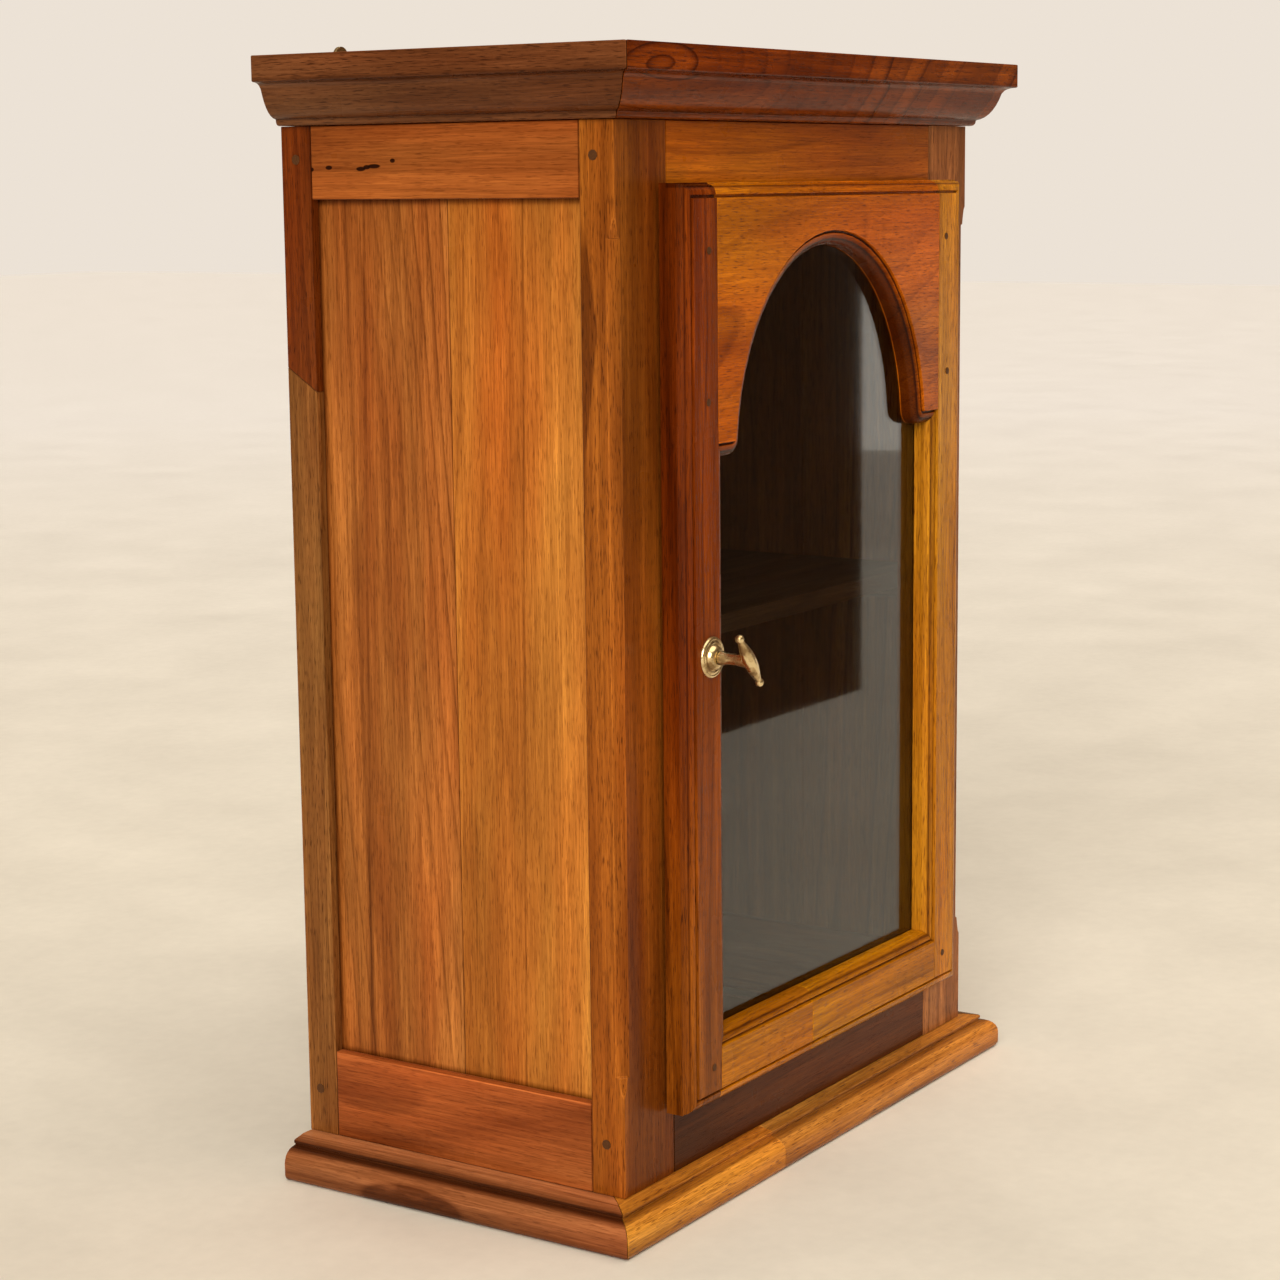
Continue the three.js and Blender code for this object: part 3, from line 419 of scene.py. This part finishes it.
# Painted light on the upward face of the ledge.
side_foot.lighten(((side_foot.z - LEDGE_FOOT) * 2).clipped(), 0.3)
timber("base_left_moulding", side_foot.polished(0.2))
right_foot = foot_wax_and_shade(Wood("base_right_moulding", (0.26, 0.085, 0.018), "y", 5.2, heart=(30, 10), ring=7))
timber("base_right_moulding", right_foot.polished(0.24))
for node, tone, seed in (("base_front_left_moulding", (0.64, 0.24, 0.03), 6.4),
                         ("base_front_right_moulding", (0.57, 0.22, 0.037), 8.3)):
    front_foot = foot_wax_and_shade(Wood(node, tone, "x", seed, heart=(28, 20), ring=6, streak=1.0), 0.5)
    timber(node, front_foot.polished(0.22))
hidden_rail = Wood("base_back_rail", HIDDEN_BROWN, "x", 9.7, pore=0.5)
timber("base_back_rail", hidden_rail.polished(0.5), ease=0.0004)


# ---------------------------------------------------------------------------------------------------
# Bottom and top boards, shelf and its two cleats: plain boards inside, planed and thinly finished. The
# shelf rests on the cleats, which are glued to the side panels.

def plain_board(node, grain, seed, tone=(0.2, 0.09, 0.03)):
    """A board from the inside of the case: wide rings from a big tree, and a thin, dull finish."""
    board = Wood(node, tone, grain, seed, heart=(90, 60), ring=12, pore=0.45)
    timber(node, board.polished(0.55), ease=0.0005)


plain_board("bottom_board", "x", 2.2)
plain_board("top_board", "x", 4.6)
plain_board("shelf", "x", 7.7, (0.16, 0.07, 0.024))
plain_board("left_shelf_cleat", "y", 1.4)
plain_board("right_shelf_cleat", "y", 1.9)


# ---------------------------------------------------------------------------------------------------
# Corner posts: walnut, mortised for the rails and grooved for the panels. The two front ones have a
# stopped chamfer on the outer arris, and the left rear one is spliced with a long scarf.

left_post = Wood("front_left_post", (0.25, 0.064, 0.0064), "z", 12.3, heart=(60, 35), ring=9, figure=0.6,
                 streak=1.1)
# Its side is paler than its front with painted light, but for a wedge of dark heartwood along the side's rear
# edge. The front darkens towards the foot with painted shade, and dark wax and painted shade lie where the
# panel meets the post.
PANEL_FRONT = -97.4
WEDGE_EDGE = -97.5
WEDGE_TOP = 605
SIDE_START = -212.5
SHADE_TOP = 230
wedge_width = left_post.near(left_post.z, 540, 68) * 9 + ((left_post.z - 360) * 0.008).clipped() * 3
wedge_side = ((left_post.y - WEDGE_EDGE + wedge_width) * 0.7).clipped()
wedge = wedge_side * ((WEDGE_TOP - left_post.z) * 0.05).clipped()
side_only = ((SIDE_START - left_post.x) * 0.17).clipped()
# Painted light on the side face.
left_post.lighten(side_only, 0.28)
left_post.darken(wedge * side_only, 0.5)
# Painted shade on the front, darker towards the foot.
left_post.darken(((SHADE_TOP - left_post.z) / SHADE_TOP).clipped() * (1 - side_only), 0.3)
# Dark wax and painted shade in the corner where the panel meets the post.
left_post.darken(left_post.near(left_post.y, PANEL_FRONT, 1.2), 0.45)
timber("front_left_post", left_post.polished(0.3), ease=0.0009)
right_post = Wood("front_right_post", (0.31, 0.11, 0.03), "z", 14.9, heart=(-60, 35), ring=9, streak=1.1)
timber("front_right_post", right_post.polished(0.3), ease=0.0009)
JOINT_DIRT = -0.55
scarf_top = Wood("rear_left_post_upper", (0.15, 0.029, 0.0036), "z", 16.2, heart=(40, 60), ring=7, figure=0.7)
timber("rear_left_post_upper", scarf_top.polished(0.28, arris_wear_and_highlight=JOINT_DIRT))
scarf_foot = Wood("rear_left_post_lower", (0.22, 0.082, 0.019), "z", 18.8, heart=(40, 90), ring=6, figure=0.6)
timber("rear_left_post_lower", scarf_foot.polished(0.32, arris_wear_and_highlight=JOINT_DIRT))
rear_post = Wood("rear_right_post", (0.22, 0.075, 0.016), "z", 20.1, heart=(-40, 60))
timber("rear_right_post", rear_post.polished())


# ---------------------------------------------------------------------------------------------------
# Rails: walnut, one at the top and one at the foot of each side of the case, tenoned into the posts and
# flush with them outside. The left side's top rail has a row of dark nicks, and the rail at its foot is
# stained, with a painted highlight along its top edge over the panel's front half.

NICKS = ((84.5, 635, 2.2), (60, 634, 3), (55.5, 635, 2.2), (50, 635.5, 4), (36, 638.6, 1.6), (98, 634, 1.6))
NICK_HEIGHT = 1.1
LOWER_RAIL_EDGE = 80.9
for node, grain, tone, seed in (
        ("left_top_rail", "y", (0.3, 0.077, 0.014), 22.5),
        ("left_bottom_rail", "y", (0.34, 0.086, 0.02), 24.4),
        ("right_top_rail", "y", (0.33, 0.11, 0.022), 26.1),
        ("right_bottom_rail", "y", (0.27, 0.085, 0.017), 28.6),
        ("front_top_rail", "x", (0.32, 0.075, 0.002), 30.3),
        ("front_bottom_rail", "x", (0.085, 0.018, 0.002), 32.9),
        ("back_top_rail", "x", HIDDEN_BROWN, 34.2),
        ("back_bottom_rail", "x", HIDDEN_BROWN, 36.4)):
    rail = Wood(node, tone, grain, seed, heart=(30, 30), ring=8, figure=0.35, streak=0.7, broad=1.6, pore=0.3)
    if node == "left_bottom_rail":
        # Painted highlight along the top edge, over the panel's front half.
        rail.lighten(rail.near(rail.z, LOWER_RAIL_EDGE, 0.9) * ((60 - rail.y) * 0.02).clipped(), 0.8)
        rail.darken(rail.near(rail.z + rail.y * 0.3, 46, 14), 0.3)
        rail.darken(rail.spot((70, 62), (34, 13)), 0.22)
    if node == "left_top_rail":
        for depth, height, length in NICKS:
            rail.darken(rail.spot((depth, height), (length, NICK_HEIGHT)), 0.92)
    timber(node, rail.polished(arris_wear_and_highlight=JOINT_DIRT))


# ---------------------------------------------------------------------------------------------------
# Side panels: walnut, two boards each, butted and glued, loose in the grooves of the posts and rails.
# They are sawn from close to the heart, so that wide figure shows. Three plain boards close the back.

PANEL_TOP = 615.6
PANEL_FOOT = 81.7
PANEL_REAR = 98.4


def groove_wax_and_shade(board):
    """Dark wax and painted shade where a panel runs into its groove, along the rails and the posts."""
    # Dark wax and painted shade along the rails, then along the posts.
    for height in (PANEL_TOP, PANEL_FOOT):
        board.darken(board.near(board.z, height, 3.5), 0.6)
    for depth in (PANEL_FRONT, PANEL_REAR):
        board.darken(board.near(board.y, depth, 2.8), 0.7)
    return board


rear_panel = groove_wax_and_shade(Wood("left_panel_rear_board", (0.32, 0.1, 0.019), "z", 41.6, heart=(8, 12),
                            lean=(0.01, 0.08), ring=9, figure=0.55, pore=0.42, swirl=36))
# A pale band at the butt joint, a redder one behind it, then a dark one with two thin dark streaks.
rear_panel.lighten(rear_panel.near(rear_panel.y, 0, 40), 0.22)
rear_panel.redden(rear_panel.near(rear_panel.y, 22, 30) * rear_panel.near(rear_panel.z, 330, 330), 0.14)
rear_panel.darken(rear_panel.near(rear_panel.y, 62, 26), 0.16)
rear_panel.darken(rear_panel.near(rear_panel.y - rear_panel.z * 0.012, 71, 2.6), 0.42)
rear_panel.darken(rear_panel.near(rear_panel.y + rear_panel.z * 0.02, 76, 1.8), 0.4)
timber("left_panel_rear_board", rear_panel.polished(0.3, arris_wear_and_highlight=JOINT_DIRT), ease=0.0004)
front_panel = groove_wax_and_shade(Wood("left_panel_front_board", (0.47, 0.16, 0.024), "z", 43.2, heart=(18, -14),
                             lean=(0.01, -0.06), ring=10, figure=0.45, streak=0.7, pore=0.42, swirl=36))
# It is darker by the joint and redder in its upper middle, with a pale front edge and one thin streak.
front_panel.darken(front_panel.near(front_panel.y, -12, 30), 0.16)
glow = front_panel.near(front_panel.y, -34, 40) * ((front_panel.z - 240) * 0.004).clipped()
front_panel.redden(glow, 0.15)
front_panel.darken(glow, 0.16)
front_panel.lighten(front_panel.near(front_panel.y, -88, 24), 0.14)
front_panel.darken(front_panel.near(front_panel.y + front_panel.z * 0.015, -44, 1.2), 0.4)
timber("left_panel_front_board", front_panel.polished(0.3, arris_wear_and_highlight=JOINT_DIRT), ease=0.0004)
for node, tone, seed, heart, lean in (
        ("right_panel_rear_board", (0.36, 0.12, 0.024), 45.7, (-25, 20), (0, 0.03)),
        ("right_panel_front_board", (0.38, 0.13, 0.024), 47.9, (-25, 0), (0, -0.04))):
    far_board = Wood(node, tone, "z", seed, heart=heart, lean=lean, ring=10)
    timber(node, far_board.polished(), ease=0.0004)
for index in (1, 2, 3):
    plain_board(f"back_board_{index}", "z", 50 + 2.7 * index, (0.24, 0.12, 0.045))


# ---------------------------------------------------------------------------------------------------
# Cornice: a front strip and two returns, mitred and glued on, with a rail across the back. Walnut, run
# to a fillet, a cove and a bead, darker than the carcase.

FILLET_FOOT = 686.0
COVE_MIDDLE = 674.0
BEAD_TOP = 664.2


def cornice_wax_and_shade(strip):
    """Dark wax and painted shade in the cove under the fillet and in the quirk over the bead, and painted shade
    across the cove.
    """
    strip.darken(strip.near(strip.z, FILLET_FOOT, 2.2), 0.55)
    strip.darken(strip.near(strip.z, BEAD_TOP, 1.6), 0.6)
    # Painted shade across the middle of the cove.
    strip.darken(strip.near(strip.z, COVE_MIDDLE, 9.0), 0.22)
    return strip


cornice_left = cornice_wax_and_shade(Wood("cornice_left", (0.13, 0.044, 0.015), "y", 61.3, heart=(30, 30), ring=8))
timber("cornice_left", cornice_left.polished(0.27), ease=0.0008)
cornice_front = cornice_wax_and_shade(Wood("cornice_front", (0.17, 0.031, 0.002), "x", 63.8, heart=(30, 30),
                                  lean=(0.25, 0.1), ring=7, figure=1.0, streak=1.6))
timber("cornice_front", cornice_front.polished(0.27), ease=0.0008)
cornice_right = Wood("cornice_right", (0.2, 0.065, 0.015), "y", 65.9)
timber("cornice_right", cornice_right.polished(0.27), ease=0.0008)
cornice_back = Wood("cornice_back_rail", HIDDEN_BROWN, "x", 67.1)
timber("cornice_back_rail", cornice_back.polished(0.5), ease=0.0004)


# ---------------------------------------------------------------------------------------------------
# Door: walnut, two stiles, a bottom rail in two lengths and a deep arched top rail, tenoned and pegged.
# Its inner edge is run with two small mouldings, which have dark wax and painted shade in their quirks.

DOOR_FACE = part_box("door_left_stile")[0].y * 1000
DOOR_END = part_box("door_left_stile")[1].z * 1000


def quirk_wax_and_shade(piece):
    """Dark wax and painted shade in the quirks of the door's mouldings, which lie a little behind its face."""
    piece.darken(piece.near(piece.y, DOOR_FACE + 2.6, 0.9), 0.72)
    return piece


stile = quirk_wax_and_shade(Wood("door_left_stile", (0.22, 0.039, 0.0024), "z", 71.1, heart=(50, 50), ring=8,
                       streak=1.7))
# It is darkened with painted shade behind its face, paler and less red towards its foot, and dirty on its top
# end.
# Painted shade on the moulding and the side edge behind the face.
stile.darken(((stile.y - DOOR_FACE - 2.4) * 0.8).clipped(), 0.36)
low_end = ((340 - stile.z) * 0.004).clipped()
stile.redden(low_end, -0.45)
stile.lighten(low_end, 0.25)
top_end = ((stile.z - DOOR_END + 3) * 2).clipped() * ((DOOR_FACE + 14 - stile.y) * 0.5).clipped()
stile.darken(top_end, 0.55)
timber("door_left_stile", stile.polished(0.26))
stile = quirk_wax_and_shade(Wood("door_right_stile", (0.47, 0.17, 0.0084), "z", 73.5, heart=(50, 50), ring=8,
                       streak=1.0))
timber("door_right_stile", stile.polished(0.26))
arch = quirk_wax_and_shade(Wood("door_top_rail", (0.43, 0.092, 0.002), "x", 75.2, heart=(60, 40), lean=(0.1, 0.32),
                      ring=14, figure=0.3, streak=0.6))
# Painted shade darkens its moulding below the arch's crown. The face is yellower and paler at the upper left,
# with a dark slanting band on either side of the arch.
ARCH_CROWN = 606
# Painted shade on the moulding under the arch, below its crown.
moulding_shade = ((arch.y - DOOR_FACE - 1.2) * 0.8).clipped() * ((DOOR_FACE + 13 - arch.y) * 2).clipped()
arch.darken(moulding_shade * ((ARCH_CROWN - arch.z) * 0.3).clipped(), 0.8)
sunny = ((20 - arch.x) * 0.008).clipped() * ((arch.z - 530) * 0.02).clipped()
arch.redden(sunny, -0.32)
arch.lighten(sunny, 0.14)
right_band = arch.near(arch.z + arch.x * 0.55, 578, 26) * ((arch.x - 40) * 0.02).clipped()
arch.darken(right_band, 0.38)
left_band = arch.near(arch.z - arch.x * 0.12, 545, 14) * ((-60 - arch.x) * 0.03).clipped()
arch.darken(left_band, 0.3)
timber("door_top_rail", arch.polished(0.26))
for node, tone, seed in (("door_bottom_rail_left", (0.46, 0.15, 0.0022), 77.4),
                         ("door_bottom_rail_right", (0.42, 0.14, 0.002), 79.6)):
    foot_rail = quirk_wax_and_shade(Wood(node, tone, "x", seed, heart=(50, 30), ring=8))
    timber(node, foot_rail.polished(0.26))


# ---------------------------------------------------------------------------------------------------
# Draw pegs: riven oak, driven through the mortises and trimmed almost flush, dark with age. The carcase
# has them at the ends of the side rails, and the door at the ends of its rails.

class Tree:
    """A Geometry Nodes tree being built, with named inputs, and the same way of adding a node."""

    def __init__(self, name, **inputs):
        self.group = bpy.data.node_groups.new(name, "GeometryNodeTree")
        face = self.group.interface
        face.new_socket(name="Geometry", in_out="INPUT", socket_type="NodeSocketGeometry")
        for title, kind in inputs.items():
            face.new_socket(name=title, in_out="INPUT", socket_type="NodeSocket" + kind)
        face.new_socket(name="Geometry", in_out="OUTPUT", socket_type="NodeSocketGeometry")
        self.entry = self.group.nodes.new("NodeGroupInput").outputs
        self.end = self.group.nodes.new("NodeGroupOutput")

    def node(self, kind, sockets, out=0, **settings):
        made = self.group.nodes.new(kind)
        for key, setting in settings.items():
            setattr(made, key, setting)
        for key, given in sockets.items():
            if isinstance(given, bpy.types.NodeSocket):
                self.group.links.new(given, made.inputs[key])
            else:
                made.inputs[key].default_value = given
        return made.outputs[out]

    def close(self, geometry, material):
        """Ends the tree: instances made real, then the material."""
        real = self.node("GeometryNodeRealizeInstances", {"Geometry": geometry})
        dressed = self.node("GeometryNodeSetMaterial", {"Geometry": real, "Material": material})
        self.group.links.new(dressed, self.end.inputs[0])

    def grow(self, name, points, **values):
        """Runs the tree on loose points and gives back a plain piece."""
        piece = mesh_object(name, points, [])
        grown = piece.modifiers.new("grown", "NODES")
        grown.node_group = self.group
        for item in self.group.interface.items_tree:
            if item.in_out == "INPUT" and item.name in values:
                grown[item.identifier] = values[item.name]
        piece.data = plain_mesh(piece)
        piece.modifiers.clear()
        return piece


FULL_TURN = 6.28
pegs = Tree("draw pegs", Diameter="Float", Proud="Float", Depth="Float", Turn="Vector", Seed="Int",
            Finish="Material")
radius = pegs.node("ShaderNodeMath", {0: pegs.entry["Diameter"], 1: 0.5}, operation="MULTIPLY")
crown = pegs.node("ShaderNodeMath", {0: radius, 1: 0.82}, operation="MULTIPLY")
shank = pegs.node("GeometryNodeMeshCone", {
    "Vertices": 9, "Radius Top": crown, "Radius Bottom": radius, "Depth": pegs.entry["Depth"]}, out="Mesh")
sunk = pegs.node("ShaderNodeMath", {0: pegs.entry["Proud"], 1: pegs.entry["Depth"]}, operation="SUBTRACT")
seated = pegs.node("GeometryNodeTransform", {
    "Geometry": shank, "Translation": pegs.node("ShaderNodeCombineXYZ", {"Z": sunk})})
facing = pegs.node("FunctionNodeEulerToRotation", {0: pegs.entry["Turn"]})
placed = pegs.node("GeometryNodeInstanceOnPoints", {
    "Points": pegs.entry["Geometry"], "Instance": seated, "Rotation": facing})
twist = pegs.node("FunctionNodeRandomValue", {"Max": FULL_TURN, "Seed": pegs.entry["Seed"]}, out=1,
                  data_type="FLOAT")
turned = pegs.node("GeometryNodeRotateInstances", {
    "Instances": placed, "Rotation": pegs.node("ShaderNodeCombineXYZ", {"Z": twist}), "Local Space": True})
pegs.close(turned, pegs.entry["Finish"])

end_grain = Paint("peg end grain")
rays = end_grain.noise((end_grain.x * 1.2, end_grain.y * 1.2, end_grain.z * 1.2), 3, 0.6)
depth = 0.7 + (rays - 0.5) * 0.8
end_grain.feed(
    Base_Color=end_grain.node("CombineColor", [depth * 0.12, depth * 0.044, depth * 0.012]),
    Roughness=0.5 + (rays - 0.5) * 0.2,
    Specular_IOR_Level=0.15,
    Normal=end_grain.node("Bump", {"Strength": 0.3, "Distance": 0.0002, "Height": rays}, out="Normal"),
)
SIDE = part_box("front_left_post")[0].x
FORWARD = (math.radians(90), 0, 0)
PEG = {"Proud": 0.00035, "Depth": 0.003, "Finish": end_grain.material}
side_places = ((-0.107, 0.640), (-0.108, 0.058), (0.112, 0.055), (0.110, 0.640))
for hand, x, quarter in (("left", SIDE, -90), ("right", -SIDE, 90)):
    places = [(x, y, z) for y, z in side_places]
    outward = (0, math.radians(quarter), 0)
    row = pegs.grow(f"{hand}_side_pegs", places, Diameter=0.0074, Seed=4, Turn=outward, **PEG)
    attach(row, "case")
door_places = ((-0.1506, 0.585), (-0.152, 0.497), (0.1503, 0.587), (0.153, 0.497), (0.152, 0.0927),
               (-0.150, 0.0927))
places = [(x, DOOR_FACE / 1000, z) for x, z in door_places]
row = pegs.grow("door_pegs", places, Diameter=0.0055, Seed=9, Turn=FORWARD, **PEG)
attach(row, "door")


# ---------------------------------------------------------------------------------------------------
# Glass: one thin pane, slightly grey and a little smeared, bedded in the door's rebate. Four walnut beads,
# pinned in from behind, hold it.

for node, grain in (("glazing_bead_left", "z"), ("glazing_bead_right", "z"),
                    ("glazing_bead_bottom", "x"), ("glazing_bead_top", "x")):
    bead = Wood(node, (0.12, 0.04, 0.012), grain, 81.0)
    timber(node, bead.polished(0.4), ease=0.0004)

pane = Paint("window glass")
smear = pane.noise((pane.x * 0.02, pane.y * 0.02, pane.z * 0.012), 3)
pane.feed(Base_Color=(0.5, 0.52, 0.5, 1), Roughness=0.01 + smear * 0.03, IOR=1.42, Transmission_Weight=1.0)
frame["nodes"]["glass_pane"].data.materials.clear()
frame["nodes"]["glass_pane"].data.materials.append(pane.material)


# ---------------------------------------------------------------------------------------------------
# Brass: hinges, latch, knob and hanging plates, cast, rolled and turned. Tarnish has browned it in clouds,
# which are duller than the metal between them.

TARNISH = 0.9
metal = Paint("aged brass")
cloud = metal.noise((metal.x * 0.11, metal.y * 0.11, metal.z * 0.11), 4, 0.6)
speck = metal.noise((metal.x * 0.9, metal.y * 0.9, metal.z * 0.9), 2)
brown = ((cloud - 0.45) * 6).clipped() * TARNISH
bright = 1 - brown * 0.7 - (speck - 0.5) * 0.2
metal.feed(
    Base_Color=metal.node("CombineColor", [bright * 0.78, bright ** 1.25 * 0.62, bright ** 1.5 * 0.34]),
    Metallic=1.0,
    Roughness=0.22 + brown * 0.3 + (speck - 0.5) * 0.1,
    Normal=metal.node("Bump", {"Strength": 0.2, "Distance": 0.0002, "Height": cloud + speck * 0.4},
                      out="Normal"),
)
for node in ("hinge_upper_frame_leaf", "hinge_lower_frame_leaf",
             "hinge_upper_door_leaf", "hinge_lower_door_leaf",
             "hinge_upper_pin", "hinge_lower_pin", "hanging_plate_left", "hanging_plate_right",
             "knob_rosette", "knob", "knob_spindle", "latch_tongue"):
    piece = eased_copy(node, ease=0.00015, smooth=40)
    piece.data.materials.append(metal.material)


# ---------------------------------------------------------------------------------------------------
# Screws: round-headed brass, turned, with a filed slot that stands at whatever angle the screw came tight.
# Two hold each hanging plate to the back of the case, and three hold each leaf of the hinges.

HALF_TURN = 3.14
HEAD_HEIGHT = 0.0009
screws = Tree("screw heads", Diameter="Float", Turn="Vector", Seed="Int", Finish="Material")
head_radius = screws.node("ShaderNodeMath", {0: screws.entry["Diameter"], 1: 0.5}, operation="MULTIPLY")
crown_radius = screws.node("ShaderNodeMath", {0: head_radius, 1: 0.6}, operation="MULTIPLY")
dome = screws.node("GeometryNodeMeshCone", {
    "Vertices": 20, "Radius Top": crown_radius, "Radius Bottom": head_radius, "Depth": HEAD_HEIGHT,
}, out="Mesh")
slot_size = screws.node("ShaderNodeCombineXYZ", {"X": 0.008, "Y": 0.0006, "Z": 0.0008})
slot_bar = screws.node("GeometryNodeTransform", {
    "Geometry": screws.node("GeometryNodeMeshCube", {"Size": slot_size}, out="Mesh"),
    "Translation": (0, 0, HEAD_HEIGHT)})
cut = screws.group.nodes.new("GeometryNodeMeshBoolean")
cut.operation = "DIFFERENCE"
screws.group.links.new(dome, cut.inputs["Mesh 1"])
screws.group.links.new(slot_bar, cut.inputs["Mesh 2"])
standing = screws.node("GeometryNodeInstanceOnPoints", {
    "Points": screws.entry["Geometry"], "Instance": cut.outputs["Mesh"],
    "Rotation": screws.node("FunctionNodeEulerToRotation", {0: screws.entry["Turn"]})})
spin = screws.node("FunctionNodeRandomValue", {"Max": HALF_TURN, "Seed": screws.entry["Seed"]}, out=1,
                   data_type="FLOAT")
driven = screws.node("GeometryNodeRotateInstances", {
    "Instances": standing, "Rotation": screws.node("ShaderNodeCombineXYZ", {"Z": spin}), "Local Space": True})
screws.close(driven, screws.entry["Finish"])


def screw_row(name, body, places, turn, seed, diameter=0.0042):
    """Screws of one size at places, their heads facing the same way."""
    row = screws.grow(name, places, Diameter=diameter, Turn=turn, Seed=seed, Finish=metal.material)
    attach(row, body)


BACKWARD = (math.radians(-90), 0, 0)
plate_low, plate_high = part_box("hanging_plate_left")
plate_x = (plate_low.x + plate_high.x) / 2
PLATE_RISES = (0.008, 0.024)
plate_places = [(side * plate_x, plate_high.y, plate_low.z + rise)
                for side in (1, -1) for rise in PLATE_RISES]
screw_row("hanging_plate_screws", "case", plate_places, BACKWARD, seed=3)
hinge_middles = [sum(corner.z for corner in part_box(f"hinge_{place}_pin")) / 2 for place in ("upper", "lower")]
SCREW_SPACING = 0.016
screw_heights = [z + drop for z in hinge_middles for drop in (-SCREW_SPACING, 0, SCREW_SPACING)]
# The y of each leaf's open face, and how far in from the leaf's left edge its screws stand.
FRAME_LEAF_FACE = -0.1209
FRAME_LEAF_INSET = 0.006
DOOR_LEAF_FACE = -0.1237
DOOR_LEAF_INSET = 0.008
frame_leaf_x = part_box("hinge_upper_frame_leaf")[0].x + FRAME_LEAF_INSET
door_leaf_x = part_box("hinge_upper_door_leaf")[0].x + DOOR_LEAF_INSET
frame_leaf_places = [(frame_leaf_x, FRAME_LEAF_FACE, z) for z in screw_heights]
door_leaf_places = [(door_leaf_x, DOOR_LEAF_FACE, z) for z in screw_heights]
screw_row("frame_leaf_screws", "case", frame_leaf_places, FORWARD, seed=5, diameter=0.0036)
screw_row("door_leaf_screws", "door", door_leaf_places, BACKWARD, seed=6, diameter=0.0036)


# ---------------------------------------------------------------------------------------------------
# Latch keeper: a small walnut block, sawn and left plain, glued to the inner side of the left post. The
# latch's tongue turns behind it and holds the door shut.

keeper = Wood("latch_keeper", HIDDEN_BROWN, "z", 90.0)
timber("latch_keeper", keeper.polished(0.5), ease=0.0003)
